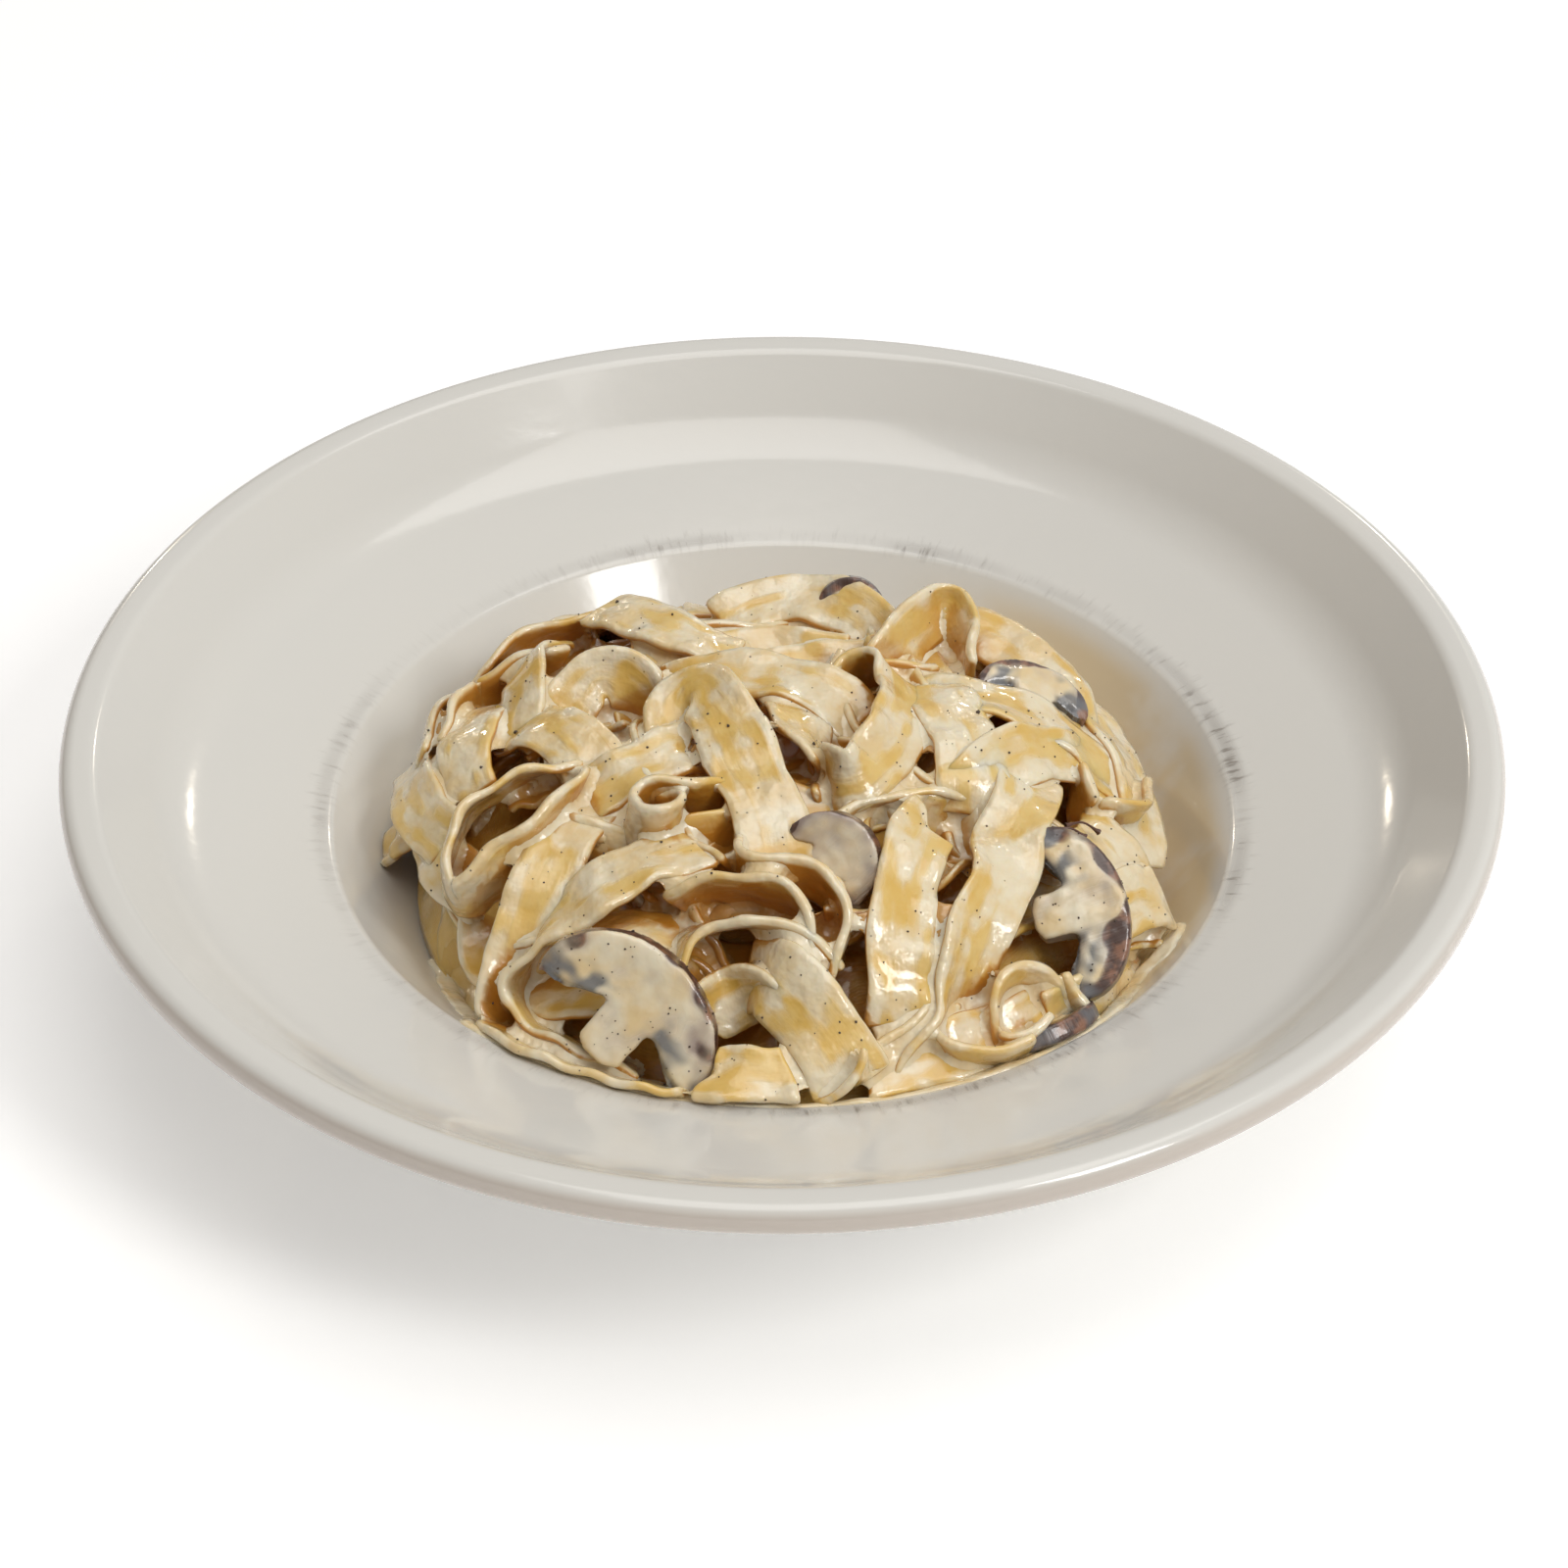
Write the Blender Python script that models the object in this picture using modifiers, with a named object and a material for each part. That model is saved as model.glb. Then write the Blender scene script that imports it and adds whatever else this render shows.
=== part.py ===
# Fettuccine alfredo with sliced mushrooms, in its wide-rimmed pasta bowl.
# Lengths are written in millimetres and turned into metres when a mesh is made.
# The middle of the foot ring is the origin, the front of the bowl faces -Y and up is +Z.
import bpy
import bmesh
import math
from mathutils import Vector

for old in list(bpy.data.objects):
    bpy.data.objects.remove(old, do_unlink=True)

MM = 0.001
GAP = 0.3
dish = bpy.data.collections.new("fettuccine_alfredo")
bpy.context.scene.collection.children.link(dish)
cutters = bpy.data.collections.new("cutters")
bpy.context.scene.collection.children.link(cutters)
strands = bpy.data.collections.new("strands")
bpy.context.scene.collection.children.link(strands)


def material(name, colour, roughness):
    made = bpy.data.materials.new(name)
    made.use_nodes = True
    shader = made.node_tree.nodes["Principled BSDF"]
    shader.inputs["Base Color"].default_value = (*colour, 1.0)
    shader.inputs["Roughness"].default_value = roughness
    shader.inputs["Metallic"].default_value = 0.0
    return made


def solid(name, vertices, faces, look, collection):
    """A mesh object from millimetre points, with its faces turned outward."""
    mesh = bpy.data.meshes.new(name)
    mesh.from_pydata([Vector(v) * MM for v in vertices], [], faces)
    work = bmesh.new()
    work.from_mesh(mesh)
    bmesh.ops.recalc_face_normals(work, faces=work.faces)
    if work.calc_volume(signed=True) < 0:
        bmesh.ops.reverse_faces(work, faces=work.faces)
    work.to_mesh(mesh)
    work.free()
    made = bpy.data.objects.new(name, mesh)
    mesh.materials.append(look)
    collection.objects.link(made)
    return made


def apply(target, modifier):
    bpy.context.view_layer.objects.active = target
    bpy.ops.object.modifier_apply(modifier=modifier.name)


# The bowl: one turned profile of glazed stoneware
GLAZE = material("glazed_stoneware", (0.72, 0.69, 0.63), 0.18)
FLOOR_Z = 7.0
TURN_STEPS = 40
# Radius, height, rounding and arc steps of each corner, from the middle of the floor over the lip and back under
CORNERS = [
    (0.0, FLOOR_Z, 0.0, 0), (66.7, FLOOR_Z, 24.0, 5), (83.2, 25.4, 3.0, 2), (110.5, 33.4, 24.0, 3),
    (123.6, 47.2, 3.4, 2), (130.0, 48.0, 2.6, 3), (130.0, 42.6, 2.2, 2), (125.4, 41.4, 2.0, 1),
    (113.5, 29.6, 20.0, 2), (86.5, 21.6, 8.0, 1), (69.0, 2.4, 18.0, 2), (54.6, 2.4, 0.8, 1),
    (53.6, 0.0, 0.8, 1), (49.0, 0.0, 0.8, 1), (48.0, 2.3, 0.8, 1), (0.0, 2.3, 0.0, 0),
]


def rounded(corners):
    """Profile points of a cornered line whose corners are arcs."""
    line = []
    for i, (r, z, radius, steps) in enumerate(corners):
        here = Vector((r, z))
        if radius == 0.0:
            line.append(here)
            continue
        back = (Vector(corners[i - 1][:2]) - here).normalized()
        ahead = (Vector(corners[i + 1][:2]) - here).normalized()
        half = back.angle(ahead) / 2
        reach = radius / math.tan(half)
        centre = here + (back + ahead).normalized() * radius / math.sin(half)
        first = here + back * reach - centre
        last = here + ahead * reach - centre
        turn = first.angle(last)
        for k in range(steps + 1):
            t = k / steps
            line.append(centre + (first * math.sin((1 - t) * turn) + last * math.sin(t * turn)) / math.sin(turn))
    return line


profile = rounded(CORNERS)
mesh = bpy.data.meshes.new("pasta_bowl")
mesh.from_pydata([(p.x * MM, 0.0, p.y * MM) for p in profile], [(i, i + 1) for i in range(len(profile) - 1)], [])
mesh.materials.append(GLAZE)
pasta_bowl = bpy.data.objects.new("pasta_bowl", mesh)
dish.objects.link(pasta_bowl)
spin = pasta_bowl.modifiers.new("turn", "SCREW")
spin.steps = TURN_STEPS
spin.render_steps = TURN_STEPS
spin.use_merge_vertices = True
spin.merge_threshold = 0.00005


def well(r):
    """Height of the bowl's upper face at a radius, at the middle of a flat of the turned mesh."""
    r = r / math.cos(math.pi / TURN_STEPS)
    for a, b in zip(profile, profile[1:]):
        if a.x <= r <= b.x and b.x > a.x:
            return a.y + (b.y - a.y) * (r - a.x) / (b.x - a.x)
    return 48.0


# Cream sauce that lies in the bottom of the bowl
SAUCE = material("cream_sauce", (0.76, 0.66, 0.50), 0.25)
POOL_Z = 10.0
SECTORS = 32
rings = [0.0, 40.0, 56.0, 62.0]
edge = 66.9
vertices = [(0, 0, POOL_Z), (0, 0, FLOOR_Z + GAP)]
for r in rings[1:] + [edge]:
    for k in range(SECTORS):
        a = 2 * math.pi * k / SECTORS
        vertices.append((r * math.cos(a), r * math.sin(a), well(r) + GAP))
for k in range(SECTORS):
    a = 2 * math.pi * k / SECTORS
    vertices.append((edge * math.cos(a), edge * math.sin(a), POOL_Z))
faces = []
for ring in range(5):
    for k in range(SECTORS):
        n = (k + 1) % SECTORS
        here = 2 + ring * SECTORS
        if ring == 0:
            faces.append((1, here + k, here + n))
        if ring < 4:
            faces.append((here + k, here + SECTORS + k, here + SECTORS + n, here + n))
        else:
            faces.append((here + k, 0, here + n))
cream_sauce = solid("cream_sauce", vertices, faces, SAUCE, dish)

# The height of the heap, which the strands follow
CENTRE = (0.0, -8.0)
REACH = [71, 71, 65, 75, 72, 71, 70, 68]
HEAP_TOP = 45.0
HEAP_BASE = 8.0
# Dents where the photo looks into the heap: x, y, radius and depth
DENTS = [
    (-10, -57, 8, 9), (-57, -43, 8, 7), (33, -30, 6, 6), (-24, 3, 7, 6), (9, -19, 5, 6),
    (54, -15, 5, 5), (-3, -72, 6, 5), (-57, 18, 7, 6), (32, -64, 5, 5), (-48, -32, 5, 5),
]


def dome(x, y):
    dx = x - CENTRE[0]
    dy = y - CENTRE[1]
    turn = math.atan2(dy, dx) / (math.pi / 4) % 8
    t = turn - int(turn)
    t = t * t * (3 - 2 * t)
    reach = REACH[int(turn) % 8] * (1 - t) + REACH[(int(turn) + 1) % 8] * t
    rho = math.hypot(dx, dy) / reach
    z = HEAP_BASE + (HEAP_TOP - HEAP_BASE) * math.sqrt(max(0.0, 1 - rho ** 3))
    for u, v, radius, depth in DENTS:
        z -= depth * math.exp(-((x - u) ** 2 + (y - v) ** 2) / radius ** 2)
    return z


def crest(x, y):
    """Height of the heap, which never sinks into the sauce or the bowl."""
    return max(dome(x, y), POOL_Z + 2.0, well(math.hypot(x, y)) + 2.0)


def outward(x, y):
    """Direction that points out of the heap."""
    step = 2.5
    near = max(1.0, math.hypot(x - CENTRE[0], y - CENTRE[1]) / 62.0)
    x = CENTRE[0] + (x - CENTRE[0]) / near
    y = CENTRE[1] + (y - CENTRE[1]) / near
    slope_x = (dome(x + step, y) - dome(x - step, y)) / (2 * step)
    slope_y = (dome(x, y + step) - dome(x, y - step)) / (2 * step)
    steep = max(1.0, math.hypot(slope_x, slope_y) / 1.3)
    return Vector((-slope_x / steep, -slope_y / steep, 1.0)).normalized()


# The bare core of the heap
PASTA = material("fettuccine", (0.78, 0.60, 0.34), 0.35)
CORE_SECTORS = 24
CORE_RINGS = [0.0, 0.2, 0.38, 0.55, 0.7, 0.84, 0.95]
CORE_DEPTH = 3.0


def core_point(share, k):
    a = 2 * math.pi * k / CORE_SECTORS
    turn = a / (math.pi / 4)
    t = turn - int(turn)
    t = t * t * (3 - 2 * t)
    reach = REACH[int(turn) % 8] * (1 - t) + REACH[(int(turn) + 1) % 8] * t
    return CENTRE[0] + share * reach * math.cos(a), CENTRE[1] + share * reach * math.sin(a)


def seat(x, y):
    """Lowest height that clears the sauce and the bowl."""
    return max(POOL_Z, well(math.hypot(x, y))) + GAP + 0.05


vertices = [(CENTRE[0], CENTRE[1], crest(*CENTRE) - CORE_DEPTH), (CENTRE[0], CENTRE[1], seat(*CENTRE))]
for side in range(2):
    for share in CORE_RINGS[1:]:
        for k in range(CORE_SECTORS):
            x, y = core_point(share, k)
            low = seat(x, y)
            vertices.append((x, y, low if side else max(crest(x, y) - CORE_DEPTH, low + 1.2)))
faces = []
count = len(CORE_RINGS) - 1
for side in range(2):
    for ring in range(count):
        for k in range(CORE_SECTORS):
            n = (k + 1) % CORE_SECTORS
            here = 2 + (side * count + ring) * CORE_SECTORS
            if ring == 0:
                faces.append((side, here + k, here + n))
            if ring < count - 1:
                faces.append((here + k, here + CORE_SECTORS + k, here + CORE_SECTORS + n, here + n))
            elif side == 0:
                faces.append((here + k, here + count * CORE_SECTORS + k, here + count * CORE_SECTORS + n, here + n))
noodle_heap = solid("noodle_heap", vertices, faces, PASTA, dish)

# The strands that show. Each row is a width, how upright its edge stands (0 points out of the heap, 1 points up),
# then x, y, lift above the heap and roll along the strand. Roll 0 lies flat and roll 90 stands on edge.
STRANDS = [
    # two rings round the large slice at the front left
    (12.0, 0.0, [(-33, -22, 0, -10), (-37, -33, 3, -15), (-41, -44, 3, -30), (-46, -52, 1, -60), (-48, -60, 0, -80),
                 (-43, -67, 0, -90), (-34, -72, 0, -90), (-24, -76, 0, -85), (-14, -78, 0, -80)]),
    (11.5, 0.0, [(-13, -38, 1, 10), (-23, -42, 4, 10), (-33, -47, 4, 15), (-41, -50, 2, 50), (-45, -55, 1, 85),
                 (-41, -61, 0, 90), (-32, -67, -1, 90), (-24, -71, -2, 90)]),
    # oval loop on edge at the left
    (11.5, 0.6, [(-35, -14, 0, 40), (-44, -17, 4, 50), (-52, -22, 6, 60), (-56, -29, 7, 70), (-54, -35.5, 7, 85),
                 (-48, -38, 6, 95), (-42, -34, 5, 105), (-38, -27, 3, 110), (-36, -20, 0, 110)]),
    # small curl left of the middle
    (10.5, 0.6, [(-9, -26, 0, 80), (-16, -27.5, 3, 75), (-22, -27.5, 4, 75), (-26, -31, 4, 75), (-24.5, -35, 4, 80),
                 (-20, -35.5, 4, 90), (-17, -32, 3, 90), (-20, -29.5, 0, 90)]),
    # twisted strand in the middle
    (13.0, 0.0, [(-19, -14, -3, 20), (-18, -7, 4, 30), (-14, -5, 8, 30), (-10, -13, 8, 20), (-6, -24, 6, 10),
                 (-2, -34, 4, 5), (0, -43, 1, 0)]),
    # strand across the top
    (12.0, 0.0, [(-24, 9, 0, 20), (-14, 6, 4, 10), (-3, 4, 5, 5), (7, 0, 5, 5), (15, -6, 1, 10)]),
    # open loop right of the middle
    (12.0, 0.0, [(1, 2, 0, -10), (3, -6, 4, -20), (4, -14, 5, -35), (6, -22, 5, -60), (10, -27, 5, -90),
                 (15, -25, 6, -115), (19, -17, 6, -135), (21, -7, 6, -145), (21, 3, 5, -140), (17, 9, 4, -110),
                 (12, 8, 2, -90), (10, 3, -2, -80)]),
    # drape that hangs down right of the loop
    (13.0, 0.0, [(25, 11, 0, 10), (28, 1, 4, 5), (31, -9, 5, 0), (33, -18, 4, 0), (34, -25, 0, 0)]),
    (12.0, 0.0, [(30, -23, 0, 20), (37, -17, 4, 20), (45, -10, 4, 10), (54, -5, 2, 0), (61, -5, 0, 0)]),
    # strand across the right shoulder
    (12.0, 0.0, [(24, 3, 1, 10), (34, 2, 4, 0), (45, 0, 4, 0), (55, -3, 2, 0), (62, -11, 0, 0)]),
    # broad strand down the front right
    (11.5, 0.0, [(26, -27, 1, 0), (23, -36, 4, -5), (20.5, -47, 4, -5), (19, -57, 4, 0), (19, -67, 2, 10)]),
    # long strand that slants down beside it
    (12.6, 0.0, [(44, -11, 0, 0), (42, -24, 4, 0), (38, -38, 4, -5), (33, -49, 4, -10), (29, -58, 3, -25),
                 (25, -66, 1, -50), (19, -72, -1, -70)]),
    # small tube curl at the front right
    (10.0, 0.7, [(53, -59, -1, 80), (48, -55, 1, 85), (41, -54, 3, 85), (36, -57, 3, 90), (35.5, -62, 3, 90),
                 (40, -65, 3, 90), (43.5, -62, 2, 90)]),
    # cup under the curl
    (10.5, 0.4, [(28, -60, -2, 60), (26, -67, -1, 65), (30, -72, -1, 75), (37, -72, -2, 85), (44, -70, -3, 90)]),
    # strand that ends at the front middle
    (14.0, 0.0, [(-6, -57, 0, 20), (1, -63, 4, 5), (8, -70, 6, -5), (13, -76, 5, -10)]),
    (11.0, 0.0, [(-17, -71, -3, 60), (-13, -64, 0, 60), (-6, -61, 1, 60), (0, -65, 0, 50), (3, -72, -2, 50)]),
    # arches over the hollow at the front
    (11.0, 0.0, [(-19, -62, -2, 90), (-18, -54, 2, 90), (-12, -50, 3, 90), (-4, -51, 3, 90), (3, -56, 1, 80), (8, -61, -2, 70)]),
    (11.0, 0.0, [(-18, -48, -2, 70), (-12, -45.5, 2, 75), (-3, -47, 3, 75), (4, -52, 2, 85), (5, -60, -2, 90)]),
    (10.5, 0.0, [(-8, -38, -2, 80), (-7, -43, 2, 75), (0, -45.5, 3, 75), (7, -47, 3, 90), (10.5, -54, 1, 90), (8, -62, -2, 90)]),
    # folded strand above the small curl
    (11.5, 0.0, [(-38, -25, -1, 10), (-30, -22, 3, 10), (-22, -18, 4, 10), (-14, -12, 2, 20)]),
    # flat folded piece at the left
    (12.0, 0.0, [(-50, 2, 0, 0), (-43, -4, 4, 0), (-37, -10, 4, 10), (-32, -18, 1, 0)]),
    # upright fingers at the left back
    (11.0, 0.0, [(-43, 28, 0, 20), (-45, 18, 5, 15), (-46, 7, 5, 10), (-49, -3, 1, 0)]),
    (11.0, 0.0, [(-51, 13, 1, -10), (-54, 3, 5, -10), (-55, -7, 5, -10), (-55, -16, 1, 0)]),
    # arcs along the left back outline
    (11.5, 0.0, [(-34, 36, 1, 40), (-47, 31, 4, 40), (-57, 21, 5, 40), (-62, 9, 6, 35), (-64, -2, 4, 30)]),
    (11.0, 0.0, [(-40, 22, 0, 60), (-49, 18, 4, 60), (-56, 10, 5, 55), (-60, 0, 3, 50)]),
    # flat faces at the far left
    (11.5, 0.0, [(-65, 4, 5, 10), (-64, -6, 5, 5), (-62, -15, 4, 0), (-58, -23, 1, 0)]),
    (11.0, 0.0, [(-64, -8, -1, 0), (-62, -18, 1, 0), (-59, -27, 1, 0), (-53, -34, -1, 0)]),
    # flat end that points up at the back left
    (11.5, 0.0, [(-34, 33, 6, 10), (-26, 27, 5, 10), (-17, 21, 3, 0), (-8, 17, 0, 0)]),
    # strand behind the twisted one
    (11.0, 0.0, [(-41, 2, 0, 40), (-34, 9, 4, 45), (-26, 9, 4, 50), (-18, 5, 2, 60)]),
    # humps along the back outline
    (11.5, 0.0, [(-12, 34, 0, 40), (-4, 36, 4, 45), (5, 36, 5, 45), (14, 31, 4, 45), (20, 24, 0, 40)]),
    (11.0, 0.0, [(18, 14, 0, 60), (24, 22, 5, 60), (29, 27, 8, 70), (33, 20, 5, 90), (34, 11, 1, 90)]),
    (11.5, 0.0, [(27, 31, 0, 40), (36, 29, 4, 45), (45, 22, 4, 45), (51, 12, 3, 30), (55, 3, 0, 10)]),
    (11.5, 0.0, [(47, 24, 0, 10), (55, 14, 3, 10), (61, 3, 3, 0), (64, -9, 2, 0), (65, -20, 0, 0)]),
    # loops at the right
    (10.0, 0.5, [(64, -3, 1, 80), (63, -11, 2, 80), (58, -16, 3, 80), (53, -14, 3, 90), (52, -8, 2, 90)]),
    (11.0, 0.0, [(51, -20, 1, 10), (56, -24, 3, 10), (61, -29, 3, 10), (63, -36, 1, 10)]),
    # flat end with a tip at the right
    (11.5, 0.0, [(50, -42, -1, 0), (55, -37, 3, 0), (60, -31, 5, 0), (66, -26, 6, 0)]),
    # low strands along the front and right
    (10.0, 0.0, [(-16, -78, 0, -25), (-6, -79, 0, -25), (4, -79, 0, -25)]),
    (10.0, 0.0, [(46, -62, -3, 20), (54, -55, -2, 20), (60, -45, -2, 20), (62, -36, -2, 10)]),
    # low arcs round the back
    (11.0, 0.0, [(-30, 46, 1, 30), (-14, 51, 2, 30), (2, 52, 2, 30), (18, 49, 2, 30), (34, 41, 1, 30)]),
    (11.0, 0.0, [(-56, 34, 1, 30), (-43, 42, 2, 30), (-28, 48, 2, 30)]),
]
THICK = 1.8
STEP = 3.8
CURL_STEP = 2.6


def curve(points, t):
    """Point of a smooth curve through the rows of a table."""
    i = min(int(t), len(points) - 2)
    t -= i
    b, c = Vector(points[i]), Vector(points[i + 1])
    a = Vector(points[i - 1]) if i > 0 else b * 2 - c
    d = Vector(points[i + 2]) if i + 2 < len(points) else c * 2 - b
    return 0.5 * (2 * b + (c - a) * t + (2 * a - 5 * b + 4 * c - d) * t ** 2 + (3 * b - 3 * c + d - a) * t ** 3)


def sections(points, width, upright, step):
    """Middle, cross direction and thickness direction at even steps along a strand."""
    fine = [curve(points, (len(points) - 1) * i / 160) for i in range(161)]
    places = []
    for x, y, lift, roll in fine:
        places.append(Vector((x, y, crest(x, y))) + outward(x, y) * lift)
    for _ in range(24):
        places = [places[0]] + [(a + 2 * b + c) / 4 for a, b, c in zip(places, places[1:], places[2:])] + [places[-1]]
    run = [0.0]
    for a, b in zip(places, places[1:]):
        run.append(run[-1] + (b - a).length)
    count = max(4, round(run[-1] / step))
    rows = []
    i = 0
    for k in range(count + 1):
        goal = run[-1] * k / count
        while i < 159 and run[i + 1] < goal:
            i += 1
        t = (goal - run[i]) / (run[i + 1] - run[i])
        middle = places[i].lerp(places[i + 1], min(1.0, t))
        ahead = (places[min(160, i + 4)] - places[max(0, i - 3)]).normalized()
        up = outward(middle.x, middle.y).lerp(Vector((0, 0, 1)), upright)
        across = up.cross(ahead).normalized()
        up = ahead.cross(across)
        roll = math.radians(fine[i][3])
        wide = across * math.cos(roll) + up * math.sin(roll)
        rows.append([middle, wide, ahead.cross(wide)])
    # A bend's inner side is pulled in, so that a strand never folds through itself
    spans = [[-width / 2, width / 2] for _ in rows]
    for i in range(count):
        (here, wide_a, _), (there, wide_b, _) = rows[i], rows[i + 1]
        ahead = (there - here).normalized()
        run_along = (there - here).length
        closing = (wide_b - wide_a).dot(ahead)
        if abs(closing) > 1e-6:
            limit = 0.8 * run_along / abs(closing)
            side = 1 if closing < 0 else 0
            for k in (i, i + 1):
                if limit < width / 2:
                    spans[k][side] = min(abs(spans[k][side]), limit) * (1 if side else -1)
    for row, span in zip(rows, spans):
        row.append(span)
        need = 0.0
        for s in span:
            for h in (-0.5, 0.5):
                p = row[0] + row[1] * s + row[2] * h * THICK
                need = max(need, seat(p.x, p.y) + 0.3 - p.z)
        row[0] = row[0] + Vector((0, 0, need))
    return rows


def strand(name, width, upright, points):
    vertices = []
    for middle, wide, thick, span in sections(points, width, upright, CURL_STEP if upright else STEP):
        for s, h in ((0, -0.5), (1, -0.5), (1, 0.5), (0, 0.5)):
            vertices.append(middle + wide * span[s] + thick * h * THICK)
    count = len(vertices) // 4
    faces = [(3, 2, 1, 0), tuple(range(4 * count - 4, 4 * count))]
    for i in range(count - 1):
        for k in range(4):
            n = (k + 1) % 4
            faces.append((4 * i + k, 4 * i + n, 4 * i + 4 + n, 4 * i + 4 + k))
    return solid(name, vertices, faces, PASTA, strands)


for number, (width, upright, points) in enumerate(STRANDS):
    strand(f"strand_{number}", width, upright, points)

join = noodle_heap.modifiers.new("join", "BOOLEAN")
join.operation = "UNION"
join.operand_type = "COLLECTION"
join.collection = strands
join.solver = "MANIFOLD"
apply(noodle_heap, join)
for piece in list(strands.objects):
    bpy.data.objects.remove(piece, do_unlink=True)
bpy.data.collections.remove(strands)

# Slices of mushroom, each a cap with its gills and a stub of stem
CAP = material("sliced_mushroom", (0.62, 0.55, 0.46), 0.3)


def slice_outline(half, rise, stem, stub, offset):
    """Outline of a cap cut through its middle, cap up, stub of stem down."""
    points = []
    for k in range(11):
        a = math.pi * k / 10
        points.append(((half + offset) * math.cos(a), (rise + offset) * math.sin(a)))
    lip = 0.16 * half
    points.append((-half + lip * 0.4 - offset * 0.8, -lip - offset * 0.6))
    points.append((-half + lip * 1.6, -lip - offset))
    points.append((-stem - offset, rise * 0.12 - 2 * offset))
    points.append((-stem * 0.9 - offset, -stub * 0.8))
    points.append((-stem * 0.5, -stub - offset))
    points.append((stem * 0.5, -stub - offset))
    points.append((stem * 0.9 + offset, -stub * 0.8))
    points.append((stem + offset, rise * 0.12 - 2 * offset))
    points.append((half - lip * 1.6, -lip - offset))
    points.append((half - lip * 0.4 + offset * 0.8, -lip - offset * 0.6))
    return points


def place(point, at, right, up):
    """Turn a flat outline's point into the slice's own plane."""
    across = Vector(right).normalized()
    face = across.cross(Vector(up)).normalized()
    rise = face.cross(across)
    return Vector(at) + across * point[0] + rise * point[1] + face * point[2]


def slice_solid(name, half, rise, stem, stub, thick, at, right, up, offset, collection):
    outline = slice_outline(half, rise, stem, stub, offset)
    inner = slice_outline(half - 0.7, rise - 0.7, stem - 0.5, stub - 0.7, offset)
    deep = thick / 2 + offset
    layers = [(inner, -deep), (outline, -deep + 0.7), (outline, deep - 0.7), (inner, deep)]
    vertices = [place((u, v, w), at, right, up) for line, w in layers for u, v in line]
    lift = max(0.0, max(seat(p.x, p.y) - offset - p.z for p in vertices))
    vertices = [p + Vector((0, 0, lift)) for p in vertices]
    count = len(outline)
    faces = [tuple(range(count)), tuple(range(3 * count, 4 * count))]
    for layer in range(3):
        for k in range(count):
            n = (k + 1) % count
            base = layer * count
            faces.append((base + k, base + n, base + count + n, base + count + k))
    return solid(name, vertices, faces, CAP, collection)


# Name, half width, rise, half stem, stub, thickness, middle, direction to its right, direction of its cap
# Each is then lifted as far as it needs to clear the bowl.
SLICES = [
    ("mushroom_slice_front_left", 17.5, 14.5, 4.6, 7.0, 4.4, (-27, -69, 31), (0.72, -0.40, -0.50), (0.55, 0.30, 0.65)),
    ("mushroom_slice_right", 16.0, 11.5, 4.2, 5.0, 4.4, (49, -43, 33), (0.25, -0.80, -0.55), (0.85, 0.10, 0.25)),
    ("mushroom_slice_middle", 9.0, 9.5, 3.4, 5.0, 4.0, (8, -41, 43), (0.55, -0.55, -0.45), (0.40, 0.35, 0.70)),
    ("mushroom_slice_top_right", 11.0, 8.5, 3.6, 4.5, 4.0, (46, 9, 40), (1.0, -0.1, -0.25), (0.05, 0.95, 0.20)),
    ("mushroom_slice_back", 6.5, 6.0, 2.6, 4.0, 4.0, (13, 37, 42), (1.0, 0.1, 0.1), (0.0, 0.45, 0.85)),
    ("mushroom_slice_low_right", 9.0, 5.5, 3.0, 3.0, 3.4, (46.5, -61.5, 18), (0.80, 0.60, 0.0), (0.40, -0.54, 0.74)),
    ("mushroom_slice_low_middle", 5.0, 4.5, 2.0, 2.5, 3.4, (-4.5, -75.5, 25), (0.95, -0.15, 0.1), (0.0, -0.5, 0.8)),
]
for name, half, rise, stem, stub, thick, at, right, up in SLICES:
    slice_solid(name, half, rise, stem, stub, thick, at, right, up, 0.0, dish)
    slice_solid(name + "_pocket", half, rise, stem, stub, thick, at, right, up, 2 * GAP, cutters)
for cutter in cutters.objects:
    cutter.hide_render = True
    cutter.display_type = "WIRE"
press = noodle_heap.modifiers.new("pockets", "BOOLEAN")
press.operation = "DIFFERENCE"
press.operand_type = "COLLECTION"
press.collection = cutters
press.solver = "MANIFOLD"
apply(noodle_heap, press)

# The heap keeps its one largest body: loose scraps and sealed hollows are left out
work = bmesh.new()
work.from_mesh(noodle_heap.data)
bmesh.ops.triangulate(work, faces=work.faces)
left = set(work.faces)
bodies = []
while left:
    front = [left.pop()]
    body = set(front)
    while front:
        for link in front.pop().edges:
            for face in link.link_faces:
                if len(link.link_faces) == 2 and face not in body:
                    body.add(face)
                    left.discard(face)
                    front.append(face)
    bodies.append(body)
bodies.sort(key=len, reverse=True)
for body in bodies[1:]:
    bmesh.ops.delete(work, geom=list(body), context="FACES")
work.to_mesh(noodle_heap.data)
work.free()
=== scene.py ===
# Fettuccine alfredo with sliced mushrooms in its wide-rimmed bowl, dressed for its photo.
# Lengths are in millimetres and turned into metres when a mesh is made, as in the part.
import bpy
import math
import random
import numpy as np
from mathutils import Matrix, Vector, noise
from mathutils.bvhtree import BVHTree


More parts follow.
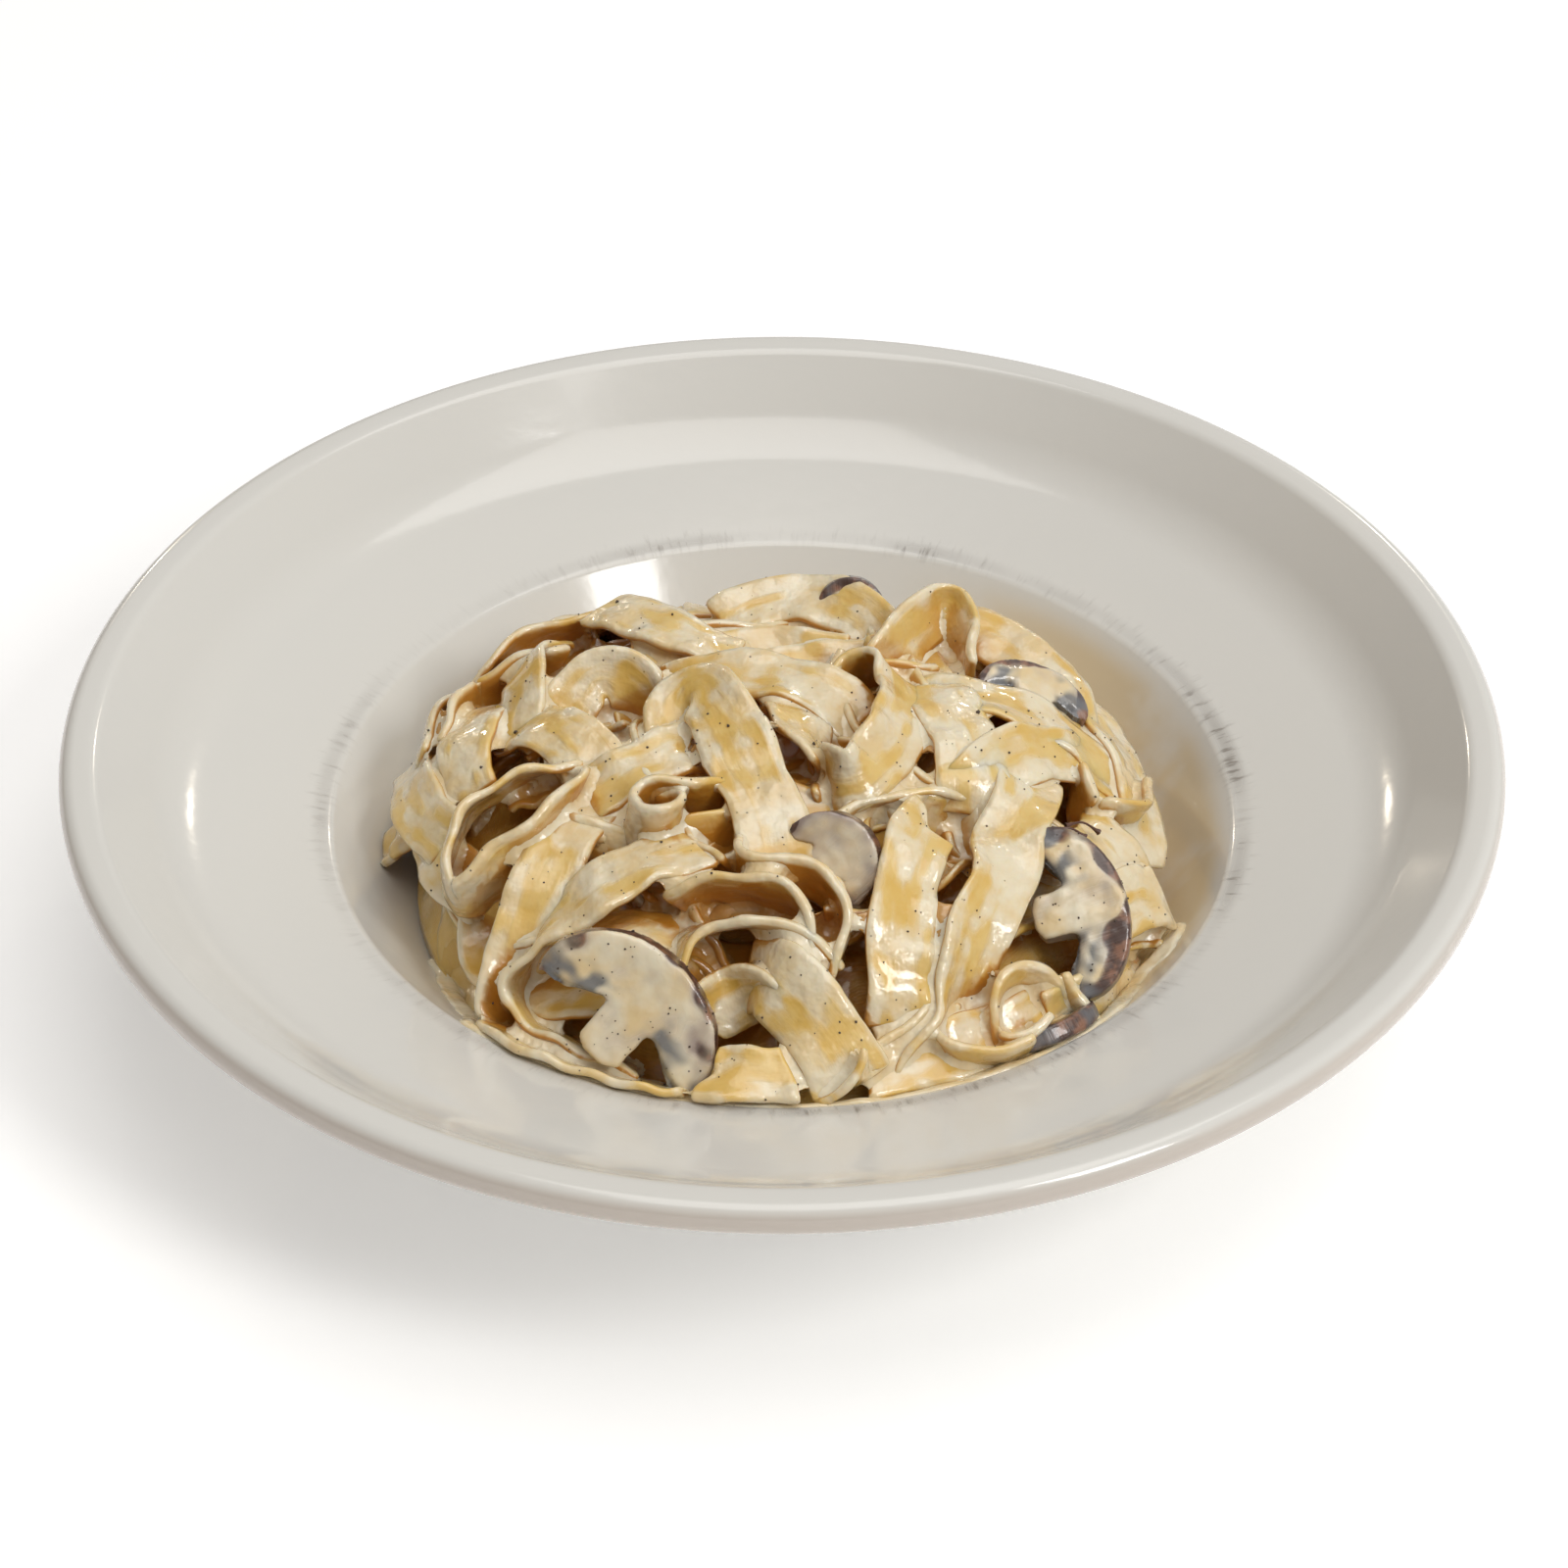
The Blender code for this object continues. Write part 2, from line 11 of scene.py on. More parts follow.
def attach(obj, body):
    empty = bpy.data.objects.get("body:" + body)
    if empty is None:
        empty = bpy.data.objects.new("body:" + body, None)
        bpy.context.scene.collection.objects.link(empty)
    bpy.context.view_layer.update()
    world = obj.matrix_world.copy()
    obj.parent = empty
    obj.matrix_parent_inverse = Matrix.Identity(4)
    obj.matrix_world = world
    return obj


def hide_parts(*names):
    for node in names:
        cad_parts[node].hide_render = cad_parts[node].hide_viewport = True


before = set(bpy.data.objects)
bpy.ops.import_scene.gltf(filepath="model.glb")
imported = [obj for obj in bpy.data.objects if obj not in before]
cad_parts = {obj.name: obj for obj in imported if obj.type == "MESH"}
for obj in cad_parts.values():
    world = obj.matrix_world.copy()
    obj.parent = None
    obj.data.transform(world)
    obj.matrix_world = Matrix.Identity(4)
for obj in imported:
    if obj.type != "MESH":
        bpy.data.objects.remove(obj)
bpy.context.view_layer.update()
MM = 0.001

# The camera looks down on the bowl from the front, as a seated guest does.
# Its distance, height and lens come from the ellipses of the lip in the photo.
CAMERA_AWAY = 626.0
CAMERA_ELEVATION = math.radians(37.04)
AIM_HEIGHT = 45.0
PHOTO_SIDE = 1600
PHOTO_FOCAL = 3507.0
PHOTO_CENTRE = (798.2, 726.2)
SENSOR = 36.0


def shown(name, data):
    """An object of the scene that shows its data."""
    made = bpy.data.objects.new(name, data)
    bpy.context.scene.collection.objects.link(made)
    return made


camera = shown("camera", bpy.data.cameras.new("camera"))
camera.location = (
    0.0,
    -CAMERA_AWAY * math.cos(CAMERA_ELEVATION) * MM,
    (AIM_HEIGHT + CAMERA_AWAY * math.sin(CAMERA_ELEVATION)) * MM,
)
camera.rotation_euler = (math.pi / 2 - CAMERA_ELEVATION, 0.0, 0.0)
camera.data.sensor_width = SENSOR
camera.data.lens = PHOTO_FOCAL / PHOTO_SIDE * SENSOR
camera.data.shift_x = (PHOTO_SIDE / 2 - PHOTO_CENTRE[0]) / PHOTO_SIDE
camera.data.shift_y = (PHOTO_CENTRE[1] - PHOTO_SIDE / 2) / PHOTO_SIDE
bpy.context.scene.camera = camera

# A soft daylight studio: a window light from the front right, a large softbox overhead, two small lamps
# far behind, and a pale room all round, which is darker and warmer on the side away from the window.
ROOM_DARK = (0.22, 0.155, 0.10)
ROOM_BRIGHT = (1.0, 1.0, 1.0)
ROOM_STRENGTH = 0.52
BRIGHT_SIDE = (0.70, 0.05, 0.70)
FLOOR_SIDE = 6.0
FLOOR_DROP = 0.0002
FLOOR_GLOW = 0.21
bpy.context.scene.view_settings.view_transform = "Standard"


def plug(tree, socket, value):
    """Feed a socket from another node's socket, or give it a value of its own."""
    if isinstance(value, bpy.types.NodeSocket):
        tree.links.new(value, socket)
    elif isinstance(value, (tuple, list)) and socket.type == "RGBA":
        socket.default_value = (*value[:3], 1.0)
    else:
        socket.default_value = value


def add(tree, kind, sockets=None, **settings):
    node = tree.nodes.new(kind)
    for key, value in settings.items():
        setattr(node, key, value)
    for key, value in (sockets or {}).items():
        plug(tree, node.inputs[key], value)
    return node


def mixed(tree, factor, a, b, mode="MIX"):
    """Colour a turned into colour b by a factor."""
    node = add(tree, "ShaderNodeMix", data_type="RGBA", blend_type=mode)
    for index, value in ((0, factor), (6, a), (7, b)):
        plug(tree, node.inputs[index], value)
    return node.outputs[2]


def math_of(tree, operation, a, b=0.0):
    return add(tree, "ShaderNodeMath", {0: a, 1: b}, operation=operation).outputs[0]


def times(tree, a, b):
    return math_of(tree, "MULTIPLY", a, b)


def plus(tree, a, b):
    return math_of(tree, "ADD", a, b)


def ramp(tree, value, low, high, at_low=0.0, at_high=1.0):
    """A soft step from at_low to at_high as the value goes from low to high."""
    sockets = {"Value": value, "From Min": low, "From Max": high, "To Min": at_low, "To Max": at_high}
    return add(tree, "ShaderNodeMapRange", sockets, interpolation_type="SMOOTHSTEP").outputs[0]


def noise_of(tree, place, scale, detail=2.0, rough=0.5):
    sockets = {"Vector": place, "Scale": scale, "Detail": detail, "Roughness": rough}
    return add(tree, "ShaderNodeTexNoise", sockets).outputs[0]


def new_material(name):
    """A material, its node tree, its shader and the place in the object that it is asked for."""
    made = bpy.data.materials.new(name)
    made.use_nodes = True
    tree = made.node_tree
    return made, tree, tree.nodes["Principled BSDF"], add(tree, "ShaderNodeTexCoord").outputs["Object"]


def set_inputs(shader, **values):
    for label, value in values.items():
        shader.inputs[label.replace("_", " ")].default_value = value


world = bpy.data.worlds.new("studio")
bpy.context.scene.world = world
world.use_nodes = True
sky = world.node_tree
heading = add(sky, "ShaderNodeTexCoord").outputs["Generated"]
facing = add(sky, "ShaderNodeVectorMath", {0: heading, 1: BRIGHT_SIDE}, operation="DOT_PRODUCT")
room = mixed(sky, ramp(sky, facing.outputs["Value"], -0.45, 0.65), ROOM_DARK, ROOM_BRIGHT)
plug(sky, sky.nodes["Background"].inputs["Color"], room)
sky.nodes["Background"].inputs["Strength"].default_value = ROOM_STRENGTH


def softbox(name, direction, away, size, power, colour):
    """An area light that looks at the bowl from a direction."""
    made = bpy.data.lights.new(name, "AREA")
    made.shape = "RECTANGLE"
    made.size, made.size_y = size
    made.energy = power
    made.color = colour
    lamp = shown(name, made)
    heading = Vector(direction).normalized()
    lamp.location = heading * away
    lamp.rotation_euler = heading.to_track_quat("Z", "Y").to_euler()


softbox("window", (0.54, -0.45, 0.69), 1.5, (0.34, 0.46), 6.6, (1.0, 0.99, 0.97))
softbox("overhead", (0.12, 0.0, 1.0), 1.8, (1.5, 1.3), 12.0, (1.0, 0.98, 0.95))
softbox("lamp_far_left", (-0.45, 1.0, 0.42), 2.0, (0.08, 0.08), 1.2, (1.0, 0.88, 0.7))
softbox("lamp_far_right", (0.35, 1.0, 0.55), 2.0, (0.06, 0.06), 1.0, (1.0, 0.9, 0.75))

bpy.ops.object.select_all(action="DESELECT")
bpy.ops.mesh.primitive_plane_add(size=FLOOR_SIDE, location=(0.0, 0.0, -FLOOR_DROP))
floor = bpy.context.object
floor.name = "floor"
paper, tree, shader, place = new_material("pale_floor")
pale = mixed(tree, noise_of(tree, place, 3.0), (0.95, 0.95, 0.95), (0.97, 0.97, 0.97))
plug(tree, shader.inputs["Base Color"], pale)
set_inputs(shader, Roughness=0.7, Emission_Color=(1.0, 1.0, 1.0, 1.0), Emission_Strength=FLOOR_GLOW)
floor.data.materials.append(paper)

# The pasta bowl: thrown stoneware under an off-white glaze, with a deep well, a wide rim and a turned-up lip.
# It is one turned outline. Forks and knives have scuffed the shoulder of the well grey.
FLOOR_Z = 7.0
AROUND = 192
# Radius, height, rounding and arc steps of each corner, from the middle of the floor over the lip and under
CORNERS = [
    (12.0, FLOOR_Z, 0.0, 0), (66.7, FLOOR_Z, 24.0, 12), (83.2, 25.4, 3.0, 6), (110.5, 33.4, 24.0, 10),
    (123.6, 47.2, 3.4, 6), (130.0, 48.0, 2.6, 8), (130.0, 42.6, 2.2, 5), (125.4, 41.4, 2.0, 4),
    (113.5, 29.6, 20.0, 6), (86.5, 21.6, 8.0, 5), (69.0, 2.4, 18.0, 6), (54.6, 2.4, 0.8, 3),
    (53.6, 0.0, 0.8, 3), (49.0, 0.0, 0.8, 3), (48.0, 2.3, 0.8, 3), (12.0, 2.3, 0.0, 0),
]


def rounded(corners):
    """Outline points of a cornered line whose corners are arcs."""
    line = []
    for i, (r, z, radius, steps) in enumerate(corners):
        here = Vector((r, z))
        if radius == 0.0:
            line.append(here)
            continue
        back = (Vector(corners[i - 1][:2]) - here).normalized()
        ahead = (Vector(corners[i + 1][:2]) - here).normalized()
        half = back.angle(ahead) / 2
        reach = radius / math.tan(half)
        centre = here + (back + ahead).normalized() * radius / math.sin(half)
        first = here + back * reach - centre
        last = here + ahead * reach - centre
        turn = first.angle(last)
        for k in range(steps + 1):
            t = k / steps
            arm = (first * math.sin((1 - t) * turn) + last * math.sin(t * turn)) / math.sin(turn)
            line.append(centre + arm)
    return line


def deselect():
    if bpy.context.object and bpy.context.object.mode != "OBJECT":
        bpy.ops.object.mode_set(mode="OBJECT")
    bpy.ops.object.select_all(action="DESELECT")


def face_out():
    """Turn the edited mesh's faces out and end its editing."""
    bpy.ops.mesh.select_all(action="SELECT")
    bpy.ops.mesh.normals_make_consistent(inside=False)
    bpy.ops.object.mode_set(mode="OBJECT")


def turned(name, outline):
    """A ring of edges drawn out along a turned outline, closed in the middle at both ends."""
    deselect()
    bpy.ops.mesh.primitive_circle_add(
        vertices=AROUND, radius=outline[0].x * MM, fill_type="NOTHING", location=(0.0, 0.0, outline[0].y * MM)
    )
    made = bpy.context.object
    made.name = name
    bpy.ops.object.mode_set(mode="EDIT")
    bpy.ops.mesh.select_all(action="SELECT")
    for a, b in zip(outline, outline[1:]):
        bpy.ops.mesh.extrude_region_move(TRANSFORM_OT_translate={"value": (0.0, 0.0, (b.y - a.y) * MM)})
        bpy.ops.transform.resize(value=(b.x / a.x, b.x / a.x, 1.0), center_override=(0.0, 0.0, b.y * MM))
    bpy.ops.mesh.select_all(action="SELECT")
    bpy.ops.mesh.fill_holes(sides=AROUND)
    face_out()
    bpy.ops.object.transform_apply(location=True, rotation=True, scale=True)
    bpy.ops.object.shade_smooth()
    return made


outline = rounded(CORNERS)
bowl = turned("glazed_pasta_bowl", outline)
upper = outline[:next(i for i, p in enumerate(outline) if p.x > 129.0)]
UPPER_R = [0.0] + [p.x for p in upper]
UPPER_Z = [FLOOR_Z] + [p.y for p in upper]


def well(r):
    """Height of the bowl's upper face at a radius."""
    return np.interp(r, UPPER_R, UPPER_Z)


GLAZE = (0.69, 0.67, 0.62)
GLAZE_COOL = (0.665, 0.655, 0.62)
LIP_TINT = (0.40, 0.30, 0.225)
SCUFF_GREY = (0.27, 0.245, 0.215)
SMEAR_AND_REFLECTION = (0.60, 0.47, 0.27)
SHOULDER_R = 84.5
LINE_WEAR = 0.48
HAIR_WEAR = 0.85
glaze, tree, shader, place = new_material("glazed_stoneware")


def scaled(tree, place, scale):
    """A place with each of its axes scaled."""
    return add(tree, "ShaderNodeVectorMath", {0: place, 1: scale}, operation="MULTIPLY").outputs[0]


def band(start, full, fade, end):
    """A ring on the glaze, soft at both sides: each radius is given from the shoulder, in millimetres."""
    rising = ramp(tree, radius, (SHOULDER_R + start) * MM, (SHOULDER_R + full) * MM)
    falling = ramp(tree, radius, (SHOULDER_R + fade) * MM, (SHOULDER_R + end) * MM, 1.0, 0.0)
    return times(tree, rising, falling)


axes = add(tree, "ShaderNodeSeparateXYZ", {0: place})
flat = scaled(tree, place, (1.0, 1.0, 0.0))
radius = add(tree, "ShaderNodeVectorMath", {0: flat}, operation="LENGTH").outputs["Value"]
angle = math_of(tree, "ARCTAN2", axes.outputs["Y"], axes.outputs["X"])
sockets = {"X": times(tree, angle, 62.0), "Y": times(tree, radius, 150.0)}
round_place = add(tree, "ShaderNodeCombineXYZ", sockets).outputs[0]
hairs = ramp(tree, noise_of(tree, round_place, 1.0, 3.0, 0.6), 0.50, 0.72)
patches = noise_of(tree, place, 30.0, 2.0)
worn_line = times(tree, band(-1.6, 0.2, 0.6, 3.0), LINE_WEAR)
worn_hairs = times(tree, times(tree, band(-2.6, 0.2, 0.8, 4.6), hairs), HAIR_WEAR)
scuff = times(tree, plus(tree, worn_line, worn_hairs), ramp(tree, patches, 0.36, 0.64, 0.15, 1.0))
scuff = times(tree, scuff, ramp(tree, axes.outputs["X"], -0.07, 0.08, 0.5, 1.0))
normal = add(tree, "ShaderNodeNewGeometry").outputs["Normal"]
upside = ramp(tree, add(tree, "ShaderNodeSeparateXYZ", {0: normal}).outputs["Z"], 0.0, 0.3)
scuff = times(tree, scuff, upside)
colour = mixed(tree, noise_of(tree, place, 14.0, 3.0), GLAZE, GLAZE_COOL)
colour = mixed(tree, times(tree, ramp(tree, radius, 0.1285, 0.1302), 0.55), colour, LIP_TINT)
# Beige tint on the right wall of the well: partly a thin smear of sauce, partly a painted reflection of the
# noodles in the glaze
film = times(tree, ramp(tree, axes.outputs["X"], 0.020, 0.060), ramp(tree, radius, 0.0785, 0.083, 1.0, 0.0))
film = times(tree, film, ramp(tree, noise_of(tree, place, 60.0, 3.0), 0.30, 0.55, 0.25, 0.75))
colour = mixed(tree, film, colour, SMEAR_AND_REFLECTION)
plug(tree, shader.inputs["Base Color"], mixed(tree, scuff, colour, SCUFF_GREY))
plug(tree, shader.inputs["Roughness"], plus(tree, times(tree, scuff, 0.4), 0.16))
set_inputs(shader, Specular_IOR_Level=0.55, Coat_Weight=0.35, Coat_Roughness=0.06)


def bumped(tree, shader, height, strength, distance):
    """Small relief from a height, over a distance in metres."""
    bump = add(tree, "ShaderNodeBump", {"Strength": strength, "Distance": distance, "Height": height})
    plug(tree, shader.inputs["Normal"], bump.outputs[0])


bumped(tree, shader, noise_of(tree, place, 220.0, 2.0), 0.12, 0.0004)
bowl.data.materials.append(glaze)
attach(bowl, "root")
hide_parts("pasta_bowl")

# The cream sauce that has run down and lies in the bottom of the well.
# It is a shallow turned pool, drawn up a little at its edge and rippled by the noodles that lie in it.
POOL_Z = 10.0
POOL_EDGE = 66.9
POOL_MIDDLE = 12.0
POOL_CLEAR = 0.3
POOL_LAP = 0.5
POOL_RISE = 0.5
POOL_STEPS = 20


def group(name, inputs, outputs):
    """A node group with named inputs and outputs: the group, what it is given and what it returns."""
    made = bpy.data.node_groups.new(name, "ShaderNodeTree")
    for label, kind in inputs:
        made.interface.new_socket(label, in_out="INPUT", socket_type=kind)
    for label, kind in outputs:
        made.interface.new_socket(label, in_out="OUTPUT", socket_type=kind)
    return made, made.nodes.new("NodeGroupInput").outputs, made.nodes.new("NodeGroupOutput").inputs


# How cream looks wherever it lies: ivory, warmer where it is thin, with pepper dust and soft lumps, and
# painted shade, orange brown, where the heap shelters it
CREAM = (0.79, 0.71, 0.53)
CREAM_WARM = (0.73, 0.56, 0.30)
CREAM_PAINTED_SHADE = (0.52, 0.265, 0.06)
PEPPER_DUST = (0.12, 0.095, 0.075)
tree, given, result = group(
    "cream_look",
    [("Place", "NodeSocketVector"), ("Dust", "NodeSocketFloat"), ("Painted_Shade", "NodeSocketFloat")],
    [("Color", "NodeSocketColor"), ("Height", "NodeSocketFloat")],
)
cream_group = tree
tone = mixed(tree, ramp(tree, noise_of(tree, given["Place"], 130.0, 3.0), 0.35, 0.68), CREAM, CREAM_WARM)
# Painted shade: the cream darkens to orange brown where the heap shuts it in
tone = mixed(tree, ramp(tree, given["Painted_Shade"], 0.15, 0.75, 0.0, 0.95), tone, CREAM_PAINTED_SHADE)
cells = add(tree, "ShaderNodeTexVoronoi", {"Vector": given["Place"], "Scale": 520.0})
chosen = add(tree, "ShaderNodeSeparateColor", {0: cells.outputs["Color"]}).outputs[0]
dots = ramp(tree, cells.outputs["Distance"], 0.07, 0.13, 1.0, 0.0)
dust = times(tree, times(tree, dots, ramp(tree, chosen, 0.80, 0.83)), given["Dust"])
plug(tree, result["Color"], mixed(tree, dust, tone, PEPPER_DUST))
lumps = noise_of(tree, given["Place"], 400.0, 2.0, 0.4)
ridges = math_of(tree, "ABSOLUTE", plus(tree, noise_of(tree, given["Place"], 210.0, 2.0), -0.5))
plug(tree, result["Height"], math_of(tree, "SUBTRACT", lumps, times(tree, ridges, 0.5)))


def attribute(tree, label):
    return add(tree, "ShaderNodeAttribute", attribute_name=label).outputs["Fac"]


def cream_of(tree, place, dust):
    """The cream's colour and height at a place."""
    sockets = {"Place": place, "Dust": dust, "Painted_Shade": attribute(tree, "deep")}
    return add(tree, "ShaderNodeGroup", sockets, node_tree=cream_group).outputs


def cream_material(name, dust, roughness):
    made, tree, shader, place = new_material(name)
    look = cream_of(tree, place, dust)
    plug(tree, shader.inputs["Base Color"], look["Color"])
    shine = ramp(tree, look["Height"], 0.1, 0.6, roughness + 0.08, roughness - 0.06)
    plug(tree, shader.inputs["Roughness"], shine)
    set_inputs(shader, Subsurface_Weight=0.2, Subsurface_Radius=(1.0, 0.75, 0.5), Subsurface_Scale=0.001)
    set_inputs(shader, Coat_Weight=0.5, Coat_Roughness=0.09)
    bumped(tree, shader, look["Height"], 0.55, 0.0010)
    return made


pool_outline = [Vector((POOL_MIDDLE, FLOOR_Z + POOL_CLEAR))]
for r in (40.0, 54.0, 58.0, 61.0, 64.0, POOL_EDGE):
    pool_outline.append(Vector((r, well(r) + POOL_CLEAR)))
for k in range(POOL_STEPS + 1):
    r = POOL_EDGE + POOL_LAP - k * (POOL_EDGE - POOL_MIDDLE) / POOL_STEPS
    pool_outline.append(Vector((r, POOL_Z + POOL_RISE * math.exp(-k * 1.4))))
pool = turned("pooled_cream", pool_outline)
for vertex in pool.data.vertices:
    if vertex.co.z > (POOL_Z - 0.2) * MM:
        lump = noise.noise(vertex.co * 110.0) * 0.35 + noise.noise(vertex.co * 260.0) * 0.15
        vertex.co.z += (lump - 0.2) * MM
pool.data.materials.append(cream_material("cream_sauce", 1.0, 0.24))
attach(pool, "root")
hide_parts("cream_sauce")

# The heap: cooked egg fettuccine, flat ribbons of rolled dough about 11.5 mm wide and 1.8 mm thick with
# their cream. They were turned on a fork and dropped into the well, so they lie in loops and folds over
# each other. Each is a grid bent along a row of places over the heap's dome, then thickened and coated.
CENTRE = (0.0, -8.0)
# Reach from the centre in eighths of a turn, counted from the right
REACH = [71, 71, 65, 75, 72, 71, 70, 68]
HEAP_TOP = 45.0
HEAP_BASE = 8.0
GAP = 0.3
SPARE = 0.05
CREST_CLEAR = 2.0
SLOPE_STEP = 2.5
SLOPE_LIMIT = 1.3
SLOPE_REACH = 62.0
# Dents where the photo looks into the heap: x, y, radius and depth
DENTS = [
    (-10, -57, 8, 9), (-57, -43, 8, 7), (33, -30, 6, 6), (-24, 3, 7, 6), (9, -19, 5, 6),
    (54, -15, 5, 5), (-3, -72, 6, 5), (-57, 18, 7, 6), (32, -64, 5, 5), (-48, -32, 5, 5),
]


def reach_at(angle):
    """Reach of the heap in a direction."""
    turn = angle / (math.pi / 4) % 8
    t = turn - int(turn)
    t = t * t * (3 - 2 * t)
    return REACH[int(turn) % 8] * (1 - t) + REACH[(int(turn) + 1) % 8] * t


def dome(x, y):
    dx = x - CENTRE[0]
    dy = y - CENTRE[1]
    rho = math.hypot(dx, dy) / reach_at(math.atan2(dy, dx))
    z = HEAP_BASE + (HEAP_TOP - HEAP_BASE) * math.sqrt(max(0.0, 1 - rho ** 3))
    for u, v, radius, depth in DENTS:
        z -= depth * math.exp(-((x - u) ** 2 + (y - v) ** 2) / radius ** 2)
    return z


def crest(x, y):
    """Height of the heap, which never sinks into the sauce or the bowl."""
    return max(dome(x, y), POOL_Z + CREST_CLEAR, well(math.hypot(x, y)) + CREST_CLEAR)


def seat(x, y):
    """Lowest height that clears the sauce and the bowl."""
    return max(POOL_Z, well(math.hypot(x, y))) + GAP + SPARE


def outward(x, y):
    """Direction that points out of the heap, taken a little inside its foot and never too steep."""
    near = max(1.0, math.hypot(x - CENTRE[0], y - CENTRE[1]) / SLOPE_REACH)
    x = CENTRE[0] + (x - CENTRE[0]) / near
    y = CENTRE[1] + (y - CENTRE[1]) / near
    slope_x = (dome(x + SLOPE_STEP, y) - dome(x - SLOPE_STEP, y)) / (2 * SLOPE_STEP)
    slope_y = (dome(x, y + SLOPE_STEP) - dome(x, y - SLOPE_STEP)) / (2 * SLOPE_STEP)
    steep = max(1.0, math.hypot(slope_x, slope_y) / SLOPE_LIMIT)
    return Vector((-slope_x / steep, -slope_y / steep, 1.0)).normalized()


# The strands that show. Each row is a width, how upright its edge stands (0 points out of the heap,
# 1 points up), then x, y, lift above the heap and roll along the strand: 0 lies flat and 90 stands on edge.
FRONT_STRANDS = [
    # two rings round the large slice at the front left
    (12.0, 0.0, [(-33, -22, 0, -10), (-37, -33, 3, -15), (-41, -44, 3, -30), (-46, -52, 1, -60),
                 (-48, -60, 0, -80),
                 (-43, -67, 0, -90), (-34, -72, 0, -90), (-24, -76, 0, -85), (-14, -78, 0, -80)]),
    (11.5, 0.0, [(-13, -38, 1, 10), (-23, -42, 4, 10), (-33, -47, 4, 15), (-41, -50, 2, 50),
                 (-45, -55, 1, 85),
                 (-41, -61, 0, 90), (-32, -67, -1, 90), (-24, -71, -2, 90)]),
    # twisted strand in the middle
    (13.0, 0.0, [(-19, -14, -3, 20), (-18, -7, 4, 30), (-14, -5, 8, 30), (-10, -13, 8, 20), (-6, -24, 6, 10),
                 (-2, -34, 4, 5), (0, -43, 1, 0)]),
    # broad strand down the front right
    (11.5, 0.0, [(26, -27, 1, 0), (23, -36, 4, -5), (20.5, -47, 4, -5), (19, -57, 4, 0),
                 (19, -67, 2, 10)], 6.0),
    # long strand that slants down beside it
    (12.6, 0.0, [(44, -11, 0, 0), (42, -24, 4, 0), (38, -38, 4, -5), (33, -49, 4, -10), (29, -58, 3, -25),
                 (25, -66, 1, -50), (19, -72, -1, -70)]),
    # small tube curl at the front right
    (10.0, 0.7, [(53, -59, -1, 80), (48, -55, 1, 85), (41, -54, 3, 85), (36, -57, 3, 90), (35.5, -62, 3, 90),
                 (40, -65, 3, 90), (43.5, -62, 2, 90)]),
    # cup under the curl
    (10.5, 0.4, [(28, -60, -2, 60), (26, -67, -1, 65), (30, -72, -1, 75), (37, -72, -2, 85),
                 (44, -70, -3, 90)]),
    # strand that ends at the front middle
    (14.0, 0.0, [(-6, -57, 0, 20), (1, -63, 4, 5), (8, -70, 6, -5), (13, -76, 5, -10)]),
    (11.0, 0.0, [(-17, -71, -3, 60), (-13, -64, 0, 60), (-6, -61, 1, 60), (0, -65, 0, 50), (3, -72, -2, 50)]),
    # arches over the hollow at the front
    (11.0, 0.0, [(-19, -62, -2, 90), (-18, -54, 2, 90), (-12, -50, 3, 90), (-4, -51, 3, 90), (3, -56, 1, 80),
                 (8, -61, -2, 70)]),
    (11.0, 0.0, [(-18, -48, -2, 70), (-12, -45.5, 2, 75), (-3, -47, 3, 75), (4, -52, 2, 85),
                 (5, -60, -2, 90)]),
    (10.5, 0.0, [(-8, -38, -2, 80), (-7, -43, 2, 75), (0, -45.5, 3, 75), (7, -47, 3, 90), (10.5, -54, 1, 90),
                 (8, -62, -2, 90)]),
    # low strands along the front and right
    (10.0, 0.0, [(-16, -78, 0, -25), (-6, -79, 0, -25), (4, -79, 0, -25)], 4.0, 5.0),
    (10.0, 0.0, [(46, -62, -3, 20), (54, -55, -2, 20), (60, -45, -2, 20), (62, -36, -2, 10)]),
]
